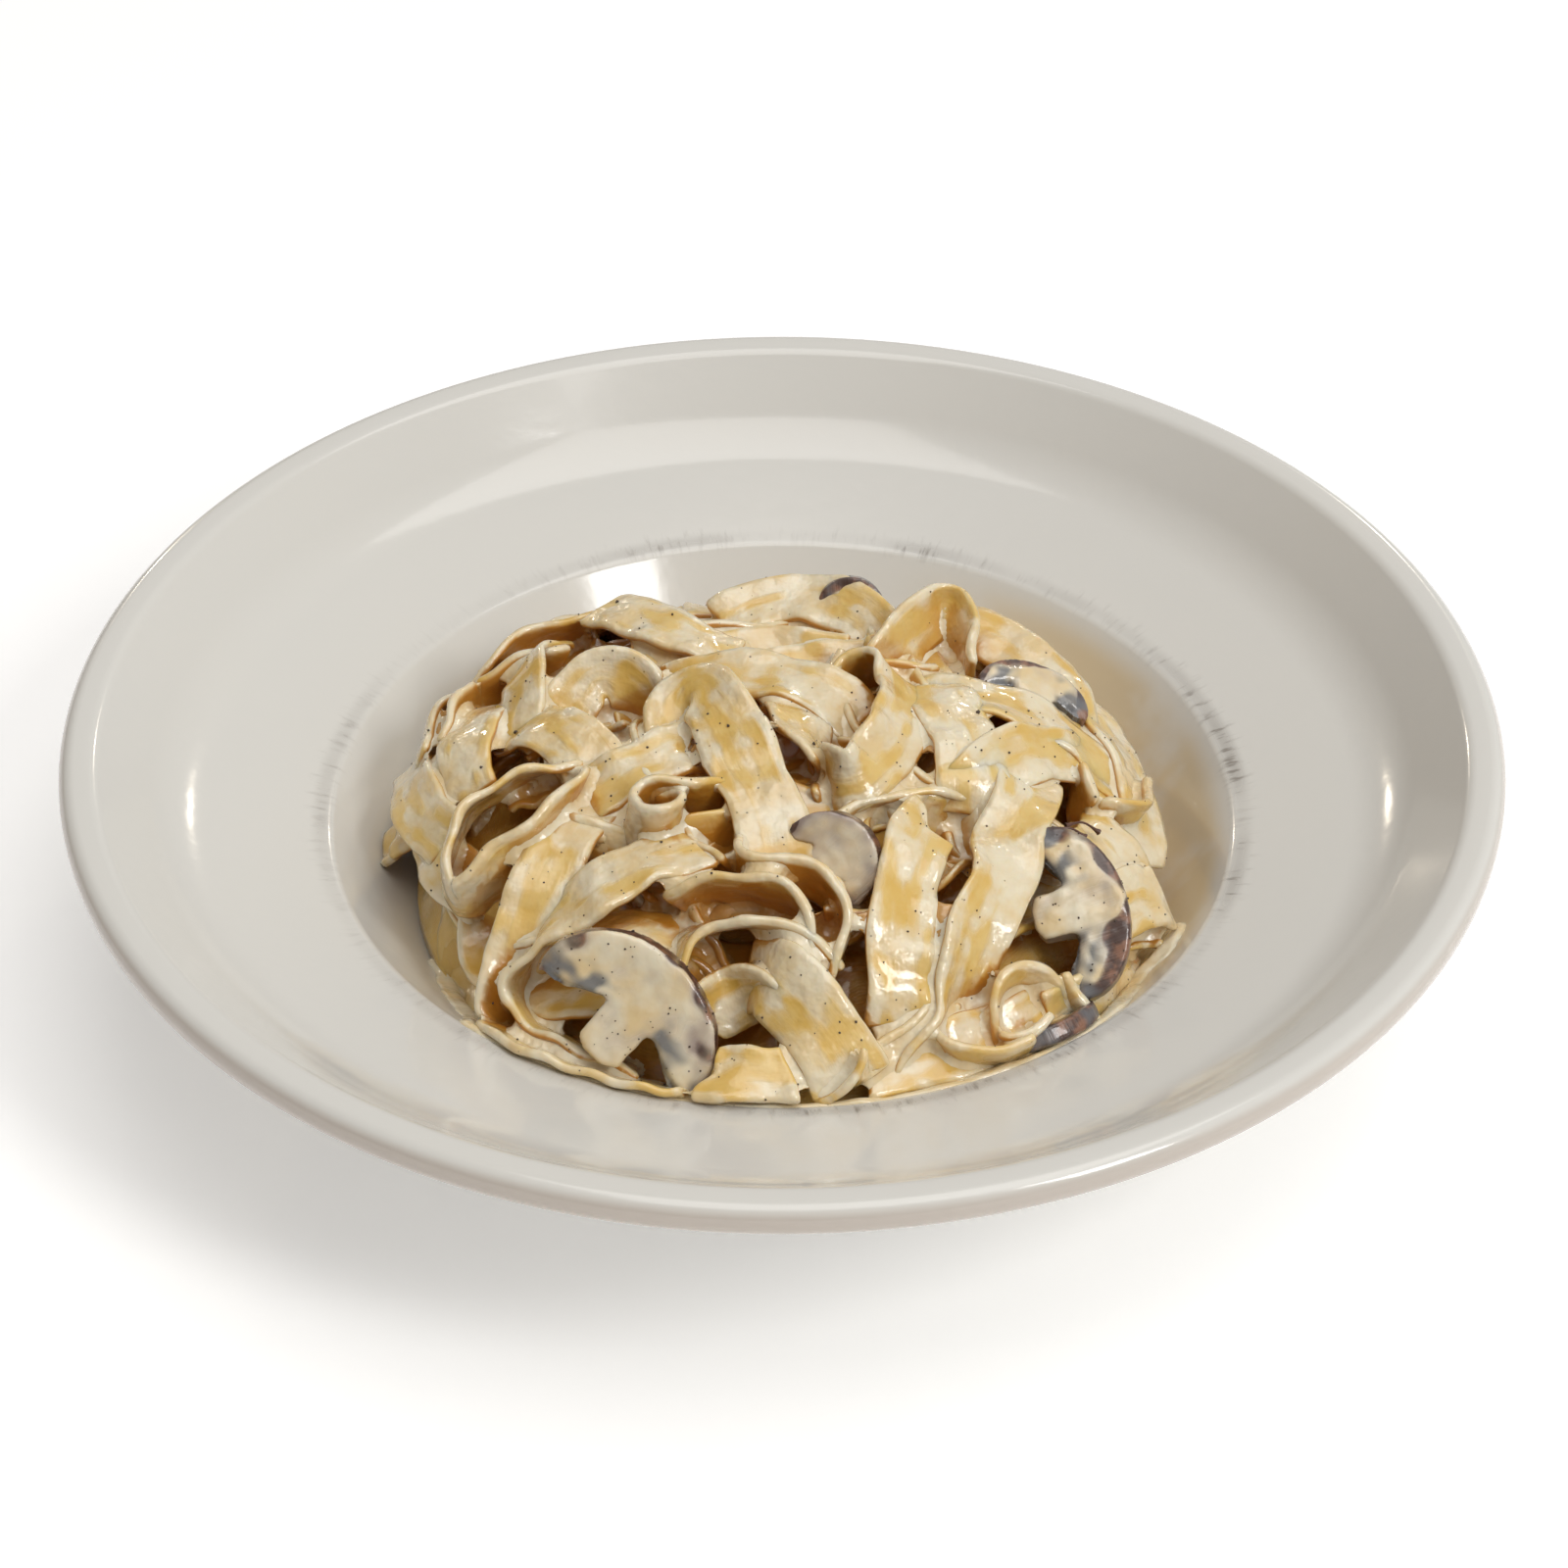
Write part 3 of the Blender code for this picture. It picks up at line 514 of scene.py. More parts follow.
MIDDLE_STRANDS = [
    # oval loop on edge at the left
    (11.5, 0.6, [(-35, -14, 0, 40), (-44, -17, 4, 50), (-52, -22, 6, 60), (-56, -29, 7, 70),
                 (-54, -35.5, 7, 85),
                 (-48, -38, 6, 95), (-42, -34, 5, 105), (-38, -27, 3, 110), (-36, -20, 0, 110)]),
    # small curl left of the middle
    (10.5, 0.6, [(-9, -26, 0, 80), (-16, -27.5, 3, 75), (-22, -27.5, 4, 75), (-26, -31, 4, 75),
                 (-24.5, -35, 4, 80),
                 (-20, -35.5, 4, 90), (-17, -32, 3, 90), (-20, -29.5, 0, 90)]),
    # strand across the top
    (12.0, 0.0, [(-24, 9, 0, 20), (-14, 6, 4, 10), (-3, 4, 5, 5), (7, 0, 5, 5), (15, -6, 1, 10)]),
    # open loop right of the middle
    (12.0, 0.0, [(1, 2, 0, -10), (3, -6, 4, -20), (4, -14, 5, -35), (6, -22, 5, -60), (10, -27, 5, -90),
                 (15, -25, 6, -115), (19, -17, 6, -135), (21, -7, 6, -145), (21, 3, 5, -140),
                 (17, 9, 4, -110),
                 (12, 8, 2, -90), (10, 3, -2, -80)]),
    # drapes that hang down right of the loop
    (13.0, 0.0, [(25, 11, 0, 10), (28, 1, 4, 5), (31, -9, 5, 0), (33, -18, 4, 0), (34, -25, 0, 0)]),
    (12.0, 0.0, [(30, -23, 0, 20), (37, -17, 4, 20), (45, -10, 4, 10), (54, -5, 2, 0), (61, -5, 0, 0)]),
    # strand across the right shoulder
    (12.0, 0.0, [(24, 3, 1, 10), (34, 2, 4, 0), (45, 0, 4, 0), (55, -3, 2, 0), (62, -11, 0, 0)]),
    # folded strand above the small curl
    (11.5, 0.0, [(-38, -25, -1, 10), (-30, -22, 3, 10), (-22, -18, 4, 10), (-14, -12, 2, 20)]),
    # flat folded piece at the left
    (12.0, 0.0, [(-50, 2, 0, 0), (-43, -4, 4, 0), (-37, -10, 4, 10), (-32, -18, 1, 0)]),
    # upright fingers at the left back
    (11.0, 0.0, [(-43, 28, 0, 20), (-45, 18, 5, 15), (-46, 7, 5, 10), (-49, -3, 1, 0)]),
    (11.0, 0.0, [(-51, 13, 1, -10), (-54, 3, 5, -10), (-55, -7, 5, -10), (-55, -16, 1, 0)]),
]
OUTER_STRANDS = [
    # arcs along the left back outline
    (11.5, 0.0, [(-34, 36, 1, 40), (-47, 31, 4, 40), (-57, 21, 5, 40), (-62, 9, 6, 35), (-64, -2, 4, 30)]),
    (11.0, 0.0, [(-40, 22, 0, 60), (-49, 18, 4, 60), (-56, 10, 5, 55), (-60, 0, 3, 50)]),
    # flat faces at the far left
    (11.5, 0.0, [(-65, 4, 5, 10), (-64, -6, 5, 5), (-62, -15, 4, 0), (-58, -23, 1, 0)]),
    (11.0, 0.0, [(-64, -8, -1, 0), (-62, -18, 1, 0), (-59, -27, 1, 0), (-53, -34, -1, 0)]),
    # flat end that points up at the back left
    (11.5, 0.0, [(-34, 33, 6, 10), (-26, 27, 5, 10), (-17, 21, 3, 0), (-8, 17, 0, 0)]),
    # strand behind the twisted one
    (11.0, 0.0, [(-41, 2, 0, 40), (-34, 9, 4, 45), (-26, 9, 4, 50), (-18, 5, 2, 60)]),
    # humps along the back outline
    (11.5, 0.0, [(-12, 34, 0, 40), (-4, 36, 4, 45), (5, 36, 5, 45), (14, 31, 4, 45), (20, 24, 0, 40)]),
    (11.0, 0.0, [(18, 14, 0, 60), (24, 22, 5, 60), (29, 27, 8, 70), (33, 20, 5, 90), (34, 11, 1, 90)]),
    (11.5, 0.0, [(27, 31, 0, 40), (36, 29, 4, 45), (45, 22, 4, 45), (51, 12, 3, 30), (55, 3, 0, 10)]),
    (11.5, 0.0, [(47, 24, 0, 10), (55, 14, 3, 10), (61, 3, 3, 0), (64, -9, 2, 0), (65, -20, 0, 0)]),
    # loops at the right
    (10.0, 0.5, [(64, -3, 1, 80), (63, -11, 2, 80), (58, -16, 3, 80), (53, -14, 3, 90), (52, -8, 2, 90)]),
    (11.0, 0.0, [(51, -20, 1, 10), (56, -24, 3, 10), (61, -29, 3, 10), (63, -36, 1, 10)]),
    # flat end with a tip at the right
    (11.5, 0.0, [(50, -42, -1, 0), (55, -37, 3, 0), (60, -31, 5, 0), (66, -26, 6, 0)], 0.0, 7.0),
    # low arcs round the back
    (11.0, 0.0, [(-30, 46, 1, 30), (-14, 51, 2, 30), (2, 52, 2, 30), (18, 49, 2, 30), (34, 41, 1, 30)]),
    (11.0, 0.0, [(-56, 34, 1, 30), (-43, 42, 2, 30), (-28, 48, 2, 30)]),
]
THICK = 1.5
STEP = 1.4
ACROSS = 6
FINE = 160
EVENINGS = 24
BEND_SHARE = 0.8
# How far an end slants, how the strand is cupped, and how high and how long its edges wave
SLANT = (-2.5, 2.5)
CUP = (-0.6, 0.9)
WAVE_HIGH = (0.2, 0.7)
WAVE_LONG = (8.0, 16.0)
PHASE = (0.0, 6.3)
TORN_RUN = 9.0
CUT_CREASE = 0.25


def curve(points, t):
    """Point of a smooth curve through the rows of a table."""
    i = min(int(t), len(points) - 2)
    t -= i
    b, c = Vector(points[i]), Vector(points[i + 1])
    a = Vector(points[i - 1]) if i > 0 else b * 2 - c
    d = Vector(points[i + 2]) if i + 2 < len(points) else c * 2 - b
    square = (2 * a - 5 * b + 4 * c - d) * t ** 2
    cube = (3 * b - 3 * c + d - a) * t ** 3
    return 0.5 * (2 * b + (c - a) * t + square + cube)


def sections(points, width, upright, step):
    """Middle, cross direction, thickness direction and span at even steps along a strand."""
    fine = [curve(points, (len(points) - 1) * i / FINE) for i in range(FINE + 1)]
    places = []
    for x, y, lift, roll in fine:
        places.append(Vector((x, y, crest(x, y))) + outward(x, y) * lift)
    for _ in range(EVENINGS):
        between = [(a + 2 * b + c) / 4 for a, b, c in zip(places, places[1:], places[2:])]
        places = [places[0]] + between + [places[-1]]
    run = [0.0]
    for a, b in zip(places, places[1:]):
        run.append(run[-1] + (b - a).length)
    count = max(4, round(run[-1] / step))
    rows = []
    i = 0
    for k in range(count + 1):
        goal = run[-1] * k / count
        while i < FINE - 1 and run[i + 1] < goal:
            i += 1
        t = (goal - run[i]) / (run[i + 1] - run[i])
        middle = places[i].lerp(places[i + 1], min(1.0, t))
        ahead = (places[min(FINE, i + 4)] - places[max(0, i - 3)]).normalized()
        up = outward(middle.x, middle.y).lerp(Vector((0, 0, 1)), upright)
        across = up.cross(ahead).normalized()
        up = ahead.cross(across)
        roll = math.radians(fine[i][3])
        wide = across * math.cos(roll) + up * math.sin(roll)
        rows.append([middle, wide, ahead.cross(wide)])
    # A bend's inner side is pulled in, so that a strand never folds through itself
    spans = [[-width / 2, width / 2] for _ in rows]
    for i in range(count):
        (here, wide_a, _), (there, wide_b, _) = rows[i], rows[i + 1]
        ahead = (there - here).normalized()
        closing = (wide_b - wide_a).dot(ahead)
        if abs(closing) > 1e-6:
            limit = BEND_SHARE * (there - here).length / abs(closing)
            side = 1 if closing < 0 else 0
            for k in (i, i + 1):
                if limit < width / 2:
                    spans[k][side] = min(abs(spans[k][side]), limit) * (1 if side else -1)
    for row, span in zip(rows, spans):
        row.append(span)
        need = 0.0
        for s in span:
            for h in (-0.5, 0.5):
                p = row[0] + row[1] * s + row[2] * h * THICK
                need = max(need, seat(p.x, p.y) + GAP - p.z)
        row[0] = row[0] + Vector((0, 0, need))
    return rows


def points_of(piece):
    place = np.empty(len(piece.data.vertices) * 3)
    piece.data.vertices.foreach_get("co", place)
    return place.reshape(-1, 3)


def normals_of(piece):
    turn = np.empty(len(piece.data.vertices) * 3)
    piece.data.vertex_normals.foreach_get("vector", turn)
    return turn.reshape(-1, 3)


def keep(piece, label, values):
    """Store a number for each point of a piece."""
    found = piece.data.attributes.get(label) or piece.data.attributes.new(label, "FLOAT", "POINT")
    found.data.foreach_set("value", np.asarray(values, dtype=np.float32))


def kept(piece, label):
    values = np.zeros(len(piece.data.vertices), dtype=np.float32)
    if label in piece.data.attributes:
        piece.data.attributes[label].data.foreach_get("value", values)
    return values


def torn(side, slant, step, seed):
    """How far a torn end is drawn in at each place across the strand."""
    rough = np.array([noise.noise(Vector((s * 3.4, seed, 0.5))) for s in side])
    ramp_up = np.clip((side - 0.3) / 0.2, 0.0, 1.0)
    return slant * (side - 0.5) + abs(slant) / 2 + 0.8 * (rough + 0.6) + step * ramp_up


def lay_strand(chance, width, upright, points, torn_step=0.0, tip=0.0):
    """One flat strand: a grid bent along its route, with wavy edges, a slight cup and torn ends."""
    rows = sections(points, width, upright, STEP)
    count = len(rows) - 1
    deselect()
    bpy.ops.mesh.primitive_grid_add(x_subdivisions=count, y_subdivisions=ACROSS, size=1.0)
    made = bpy.context.object
    flat = points_of(made)
    run = np.rint((flat[:, 0] + 0.5) * count) * STEP
    side = flat[:, 1] + 0.5
    length = count * STEP
    slants = [chance.uniform(*SLANT) for _ in range(2)]
    start = torn(side, slants[0], torn_step, chance.uniform(0.0, 90.0))
    finish = torn(side, slants[1] + tip, 0.0, chance.uniform(0.0, 90.0))
    at = np.where(run < TORN_RUN, start + run * (1 - start / TORN_RUN), run)
    left = length - run
    at = np.where(left < TORN_RUN, length - finish - left * (1 - finish / TORN_RUN), at)

    def along(index):
        """A value of the rows at each point's place along the strand."""
        columns = np.array([row[index] for row in rows]).T
        return np.stack([np.interp(at / STEP, range(count + 1), column) for column in columns], axis=1)

    middle, wide, thick, span = along(0), along(1), along(2), along(3)
    cup = chance.uniform(*CUP)
    lean = cup * (4 * (side - 0.5) ** 2 - 0.4)
    for edge in (0, 1):
        high, wave, phase = chance.uniform(*WAVE_HIGH), chance.uniform(*WAVE_LONG), chance.uniform(*PHASE)
        near = (side if edge else 1 - side) ** 2
        lean = lean + high * near * np.sin(run * 2 * math.pi / wave + phase)
    reach = span[:, 0] + (span[:, 1] - span[:, 0]) * side
    reach = reach * (1 + 0.06 * np.sin(run * 0.31 + chance.uniform(*PHASE)))
    placed = middle + wide * reach[:, None] + thick * lean[:, None]
    made.data.vertices.foreach_set("co", (placed * MM).ravel())
    uv = made.data.uv_layers[0].data
    flat_uv = np.empty(len(uv) * 2)
    uv.foreach_get("uv", flat_uv)
    flat_uv = flat_uv.reshape(-1, 2) * (length * MM, width * MM)
    flat_uv[:, 0] += chance.uniform(0.0, 5.0)
    uv.foreach_set("uv", flat_uv.ravel())
    keep(made, "tone", np.full(len(side), chance.random()))
    keep(made, "run", run)
    keep(made, "across", (side - 0.5) * width)
    keep(made, "rim", np.abs(2 * side - 1) ** 6)
    made.data.update()
    return made


def join(pieces, name):
    deselect()
    for piece in pieces:
        piece.select_set(True)
    bpy.context.view_layer.objects.active = pieces[0]
    bpy.ops.object.join()
    pieces[0].name = name
    return pieces[0]


def apply(piece, kind, **settings):
    """Give a piece a modifier with its settings, and apply it."""
    modifier = piece.modifiers.new(kind.lower(), kind)
    for key, value in settings.items():
        setattr(modifier, key, value)
    bpy.context.view_layer.objects.active = piece
    bpy.ops.object.modifier_apply(modifier=modifier.name)


def noise_at(places):
    """Soft noise of about 0 to 1 at each row of places."""
    return np.array([noise.noise(Vector(p)) for p in places]) + 0.5


SAUCE_CLEAR = 0.1
WALL_CLEAR = 0.12


def settle(places):
    """Lift what would sink into the bowl or the pooled sauce."""
    r = np.hypot(places[:, 0], places[:, 1]) / MM
    low = (np.maximum(POOL_Z + SAUCE_CLEAR, well(r)) + WALL_CLEAR) * MM
    places[:, 2] = np.maximum(places[:, 2], low)
    return places


# The top of the heap on a grid, to tell how deep a place lies below it
GRID_STEP = 2.0
GRID_LOW = -96.0
GRID_SIDE = 97
DEPTH_START = 0.5
DEPTH_SPAN = 9.0
grid_crest = np.empty((GRID_SIDE, GRID_SIDE))
grid_up = np.empty((GRID_SIDE, GRID_SIDE))
for i in range(GRID_SIDE):
    for j in range(GRID_SIDE):
        x, y = GRID_LOW + i * GRID_STEP, GRID_LOW + j * GRID_STEP
        grid_crest[i, j] = crest(x, y)
        grid_up[i, j] = outward(x, y).z


def depth_at(places):
    """How deep metre places lie in the heap, from 0 at its top to 1 in its hollows."""
    cell = np.clip((places[:, :2] / MM - GRID_LOW) / GRID_STEP, 0.0, GRID_SIDE - 1.001)
    i, j = cell.astype(int).T
    s, t = (cell - cell.astype(int)).T

    def between(grid):
        near = grid[i, j] * (1 - s) + grid[i + 1, j] * s
        far = grid[i, j + 1] * (1 - s) + grid[i + 1, j + 1] * s
        return near * (1 - t) + far * t

    below = (between(grid_crest) - places[:, 2] / MM) * between(grid_up)
    return np.clip((below - DEPTH_START) / DEPTH_SPAN, 0.0, 1.0)


def smooth(piece):
    deselect()
    piece.select_set(True)
    bpy.context.view_layer.objects.active = piece
    bpy.ops.object.shade_smooth()


# Where clots of cream start, over what span they reach full thickness, how thick they get,
# and how much dough and cream wrinkle
CLOT_START = 0.34
CLOT_SPAN = 0.34
CREAM_THICK = 0.16
WRINKLE_DOUGH = 0.06
WRINKLE_CREAM = 0.14


def coat(piece, spare=0.0):
    """Thicken a piece with clots of cream, and keep how thick they are as an attribute."""
    places = points_of(piece)
    normals = normals_of(piece)
    deep = depth_at(places)
    along = [kept(piece, "run") / 11.0, kept(piece, "across") / 2.6, kept(piece, "tone") * 60.0]
    along = np.stack(along, axis=1)
    clots = 0.4 * noise_at(places / MM / 11.0) + 0.6 * noise_at(along)
    clots = clots + 0.30 * (noise_at(places / MM / 3.6 + 9.0) - 0.5)
    # Fewer clots deep in the heap and on the lower layers (spare) leave the dough bare there: painted shade
    # in the gaps as well as thinner cream
    clots = clots + 0.06 * np.clip(normals[:, 2], -0.5, 1.0) + 0.16 * kept(piece, "rim") - 0.4 * deep - spare
    cream = np.clip((clots - CLOT_START) / CLOT_SPAN, 0.0, 1.0)
    wrinkles = noise_at(along * (2.6, 0.9, 1.0) + 4.0) + noise_at(places / MM / 3.4 + 5.0) - 1.0
    thick = cream * CREAM_THICK + wrinkles * (WRINKLE_DOUGH + WRINKLE_CREAM * cream)
    places = places + normals * (thick * MM)[:, None]
    piece.data.vertices.foreach_set("co", settle(places).ravel())
    keep(piece, "cream", cream)
    keep(piece, "deep", deep)
    piece.data.update()
    smooth(piece)


# How cooked egg dough looks: straw yellow, paler where it is swollen, with faint streaks from the rollers,
# and painted shade, a deep orange brown, where the heap shelters it
PASTA = (0.68, 0.43, 0.085)
PASTA_PALE = (0.73, 0.515, 0.17)
PASTA_PAINTED_SHADE = (0.50, 0.21, 0.022)
tree, given, result = group(
    "pasta_look",
    [("Place", "NodeSocketVector"), ("Along", "NodeSocketVector"), ("Tone", "NodeSocketFloat"),
     ("Painted_Shade", "NodeSocketFloat")],
    [("Color", "NodeSocketColor"), ("Height", "NodeSocketFloat")],
)
pasta_group = tree
streaks = noise_of(tree, scaled(tree, given["Along"], (90.0, 420.0, 0.0)), 1.0, 3.0)
blotches = noise_of(tree, given["Place"], 170.0, 3.0)
mottle = plus(tree, times(tree, streaks, 0.25), times(tree, blotches, 0.75))
mottle = plus(tree, mottle, times(tree, given["Tone"], 0.16))
dough = mixed(tree, ramp(tree, mottle, 0.44, 0.74), PASTA, PASTA_PALE)
# Painted shade: the dough turns deep orange brown where the heap shuts it in
dough = mixed(tree, ramp(tree, given["Painted_Shade"], 0.08, 0.65, 0.0, 0.97), dough, PASTA_PAINTED_SHADE)
plug(tree, result["Color"], dough)
plug(tree, result["Height"], plus(tree, times(tree, streaks, 0.3), times(tree, blotches, 1.2)))

# Cream lies over the dough in ragged streaks along each strand; where the heap shelters it less cream is
# painted, so that the painted shade of the dough shows in the hollows
sauced, tree, shader, place = new_material("sauced_fettuccine")
lengthwise = add(tree, "ShaderNodeUVMap").outputs[0]
shelter_shade = attribute(tree, "deep")
sockets = {"Place": place, "Along": lengthwise, "Tone": attribute(tree, "tone"), "Painted_Shade": shelter_shade}
dough = add(tree, "ShaderNodeGroup", sockets, node_tree=pasta_group).outputs
cream = cream_of(tree, place, 1.0)
ragged = times(tree, plus(tree, noise_of(tree, place, 420.0, 3.0), -0.5), 0.45)
streaky = noise_of(tree, scaled(tree, lengthwise, (150.0, 620.0, 0.0)), 1.0, 3.0)
streaky = times(tree, plus(tree, streaky, -0.5), 0.75)
cover = plus(tree, plus(tree, attribute(tree, "cream"), ragged), streaky)
cover = ramp(tree, cover, 0.02, 0.95, 0.04, 0.93)
# Painted shade: less cream where the heap is sheltered, so the darkened dough shows
cover = times(tree, cover, ramp(tree, shelter_shade, 0.1, 0.7, 1.0, 0.25))
plug(tree, shader.inputs["Base Color"], mixed(tree, cover, dough["Color"], cream["Color"]))
plug(tree, shader.inputs["Roughness"], ramp(tree, cover, 0.1, 0.9, 0.30, 0.20))
set_inputs(shader, Subsurface_Weight=0.35, Subsurface_Radius=(1.0, 0.75, 0.45), Subsurface_Scale=0.0014)
set_inputs(shader, Coat_Weight=0.8, Coat_Roughness=0.07)
bumped(tree, shader, mixed(tree, cover, dough["Height"], cream["Height"]), 0.58, 0.0011)

# The slices' places are needed by the fillers, which keep clear of them.
# Name, half width, rise, half stem, stub, thickness, middle, direction to its right, direction of its cap
SLICES = [
    ("mushroom_slice_front_left", 17.5, 14.5, 4.6, 7.0, 4.4, (-27, -69, 31), (0.72, -0.40, -0.50),
     (0.55, 0.30, 0.65)),
    ("mushroom_slice_right", 16.0, 11.5, 4.2, 5.0, 4.4, (49, -43, 33), (0.25, -0.80, -0.55),
     (0.85, 0.10, 0.25)),
    ("mushroom_slice_middle", 9.0, 9.5, 3.4, 5.0, 4.0, (8, -41, 43), (0.55, -0.55, -0.45),
     (0.40, 0.35, 0.70)),
    ("mushroom_slice_top_right", 11.0, 8.5, 3.6, 4.5, 4.0, (46, 9, 40), (1.0, -0.1, -0.25),
     (0.05, 0.95, 0.20)),
    ("mushroom_slice_back", 6.5, 6.0, 2.6, 4.0, 4.0, (13, 37, 42), (1.0, 0.1, 0.1), (0.0, 0.45, 0.85)),
    ("mushroom_slice_low_right", 9.0, 5.5, 3.0, 3.0, 3.4, (46.5, -61.5, 18), (0.80, 0.60, 0.0),
     (0.40, -0.54, 0.74)),
    ("mushroom_slice_low_middle", 5.0, 4.5, 2.0, 2.5, 3.4, (-4.5, -75.5, 25), (0.95, -0.15, 0.1),
     (0.0, -0.5, 0.8)),
]


def slice_axes(right, up):
    """Right, cap and face directions of a slice."""
    across = Vector(right).normalized()
    face = across.cross(Vector(up)).normalized()
    return across, face.cross(across), face


# How near to a slice's outline and to its faces a filler may come
SLICE_BESIDE = 1
SLICE_OVER = 5


def in_slice(p):
    """Whether a point is inside or just over a slice of mushroom."""
    for _, half, rise, _, stub, thick, at, right, up in SLICES:
        across, cap, face = slice_axes(right, up)
        d = p - Vector(at)
        u, v, w = d.dot(across), d.dot(cap), d.dot(face)
        beside = abs(u) < half + SLICE_BESIDE and -stub - SLICE_BESIDE < v < rise + SLICE_BESIDE
        if beside and abs(w) < thick / 2 + SLICE_OVER:
            return True
    return False


# Fillers start in a share of the heap's area, end near its edge, and have points at equal strides
FILLER_AREA = 0.80
FILLER_EDGE = 0.95
FILLER_STRIDE = 10.5
FILLER_POINTS = 6
FILLER_LEAST = 4
FILLER_UNEVEN = 1.2
FILLER_ROLLS = [0, 15, -15, 70, 90]
ROLL_STEP = 8


def filler(chance, deep):
    """A strand of the layers below: an arc at random, a little under the top of the heap."""
    while True:
        a = chance.uniform(0.0, 2 * math.pi)
        share = math.sqrt(chance.uniform(0.0, FILLER_AREA))
        reach = reach_at(a)
        x = CENTRE[0] + share * reach * math.cos(a)
        y = CENTRE[1] + share * reach * math.sin(a)
        heading = chance.uniform(0.0, 2 * math.pi)
        bend = chance.uniform(-0.5, 0.5)
        roll = chance.choice(FILLER_ROLLS)
        points = []
        for k in range(FILLER_POINTS):
            dx = x - CENTRE[0]
            dy = y - CENTRE[1]
            if math.hypot(dx, dy) / reach_at(math.atan2(dy, dx)) > FILLER_EDGE:
                break
            p = Vector((x, y, crest(x, y) - deep))
            if in_slice(p):
                break
            lift = chance.uniform(-FILLER_UNEVEN, FILLER_UNEVEN) - deep
            points.append((x, y, lift, roll + ROLL_STEP * k))
            x += FILLER_STRIDE * math.cos(heading)
            y += FILLER_STRIDE * math.sin(heading)
            heading += bend
        if len(points) >= FILLER_LEAST:
            return chance.uniform(10.0, 12.0), 0.0, points


# Strands that lie low against the well, under those that show: rows as in the tables above
LOW_STRANDS = [
    (11.0, 0.0, [(-61, -20, -9, -15), (-60, -33, -9, -15), (-56, -45, -9, -15), (-49, -56, -8, -15),
                 (-41, -65, -7, -15)]),
    (11.0, 0.0, [(-60, -28, -4, 20), (-60, -38, -6, 10), (-57, -47, -7, 0), (-51, -56, -6, -10)]),
    (11.0, 0.6, [(-66, -10, -6, 80), (-65, -22, -5, 80), (-61, -33, -5, 85), (-54, -43, -5, 90),
                 (-50, -52, -5, 90)]),
    (11.0, 0.0, [(14, -78, -5, -20), (26, -75, -5, -20), (38, -70, -6, -20), (49, -63, -6, -20)]),
    (11.5, 0.3, [(37, -40, -8, 10), (42, -49, -9, 10), (45, -57, -8, 10), (47, -64, -6, 10)]),
    (10.5, 0.5, [(-24, -40, -6, 70), (-14, -42, -4, 75), (-4, -41, -3, 80), (6, -43, -4, 85),
                 (13, -50, -6, 90)]),
    (10.5, 0.5, [(-20, -55, -7, 80), (-12, -56, -5, 85), (-3, -57, -5, 90), (4, -62, -6, 90)]),
]


# Strands round the back, where the photo doesn't reach: the angle and the share of the heap's reach
# at both ends of each, then its lift and its roll
BACK_ARCS = [
    (26, 62, 0.96, 0.99, 0.3, 5), (48, 94, 0.97, 1.02, 1.0, -5), (84, 128, 1.03, 0.97, 0.5, 10),
    (118, 152, 0.98, 0.96, 0.3, 0), (36, 74, 0.90, 0.95, 1.0, 10), (62, 118, 0.94, 0.90, 1.5, 0),
    (106, 144, 0.90, 0.93, 1.0, 20), (40, 78, 1.04, 1.06, 0.0, 0), (76, 128, 1.05, 1.05, 0.0, 5),
    (50, 60, 0.74, 1.08, 1.5, 5), (74, 84, 0.72, 1.10, 2.0, -10), (106, 98, 0.72, 1.10, 2.0, 10),
    (132, 120, 0.76, 1.08, 1.5, 0), (60, 72, 0.80, 1.08, 1.5, 60), (92, 110, 0.78, 1.08, 1.5, 70),
]
# Two more, which close the left side
LEFT_ARCS = [(146, 184, 0.92, 0.94, 0.2, 0), (152, 182, 0.97, 0.97, 0.0, 0)]
ARC_POINTS = 6
ARC_WIDTH = 11.5
# How many fillers each layer has and how deep it lies
UPPER_FILLERS = 38
UPPER_DEPTH = 2.4
LOWER_FILLERS = 30
LOWER_DEPTH = 6.5


def back_row(start, finish, near, far, lift, roll):
    """The table row of a strand round the back."""
    row = []
    for k in range(ARC_POINTS):
        share = k / (ARC_POINTS - 1)
        turn = math.radians(start + (finish - start) * share)
        reach = reach_at(turn) * (near + (far - near) * share)
        x = CENTRE[0] + reach * math.cos(turn)
        y = CENTRE[1] + reach * math.sin(turn)
        row.append((x, y, lift * math.sin(math.pi * (0.1 + 0.8 * share)), roll))
    return ARC_WIDTH, 0.0, row


def make_strands(name, table, chance, spare=0.0):
    """The strands of a table as one piece: laid flat, thickened, rounded and coated."""
    made = join([lay_strand(chance, *row) for row in table], name)
    crease = {"edge_crease_inner": CUT_CREASE, "edge_crease_outer": CUT_CREASE}
    apply(made, "SOLIDIFY", thickness=THICK * MM, offset=0.0, **crease)
    apply(made, "SUBSURF", levels=1, render_levels=1)
    coat(made, spare)
    made.data.materials.clear()
    made.data.materials.append(sauced)
    return made


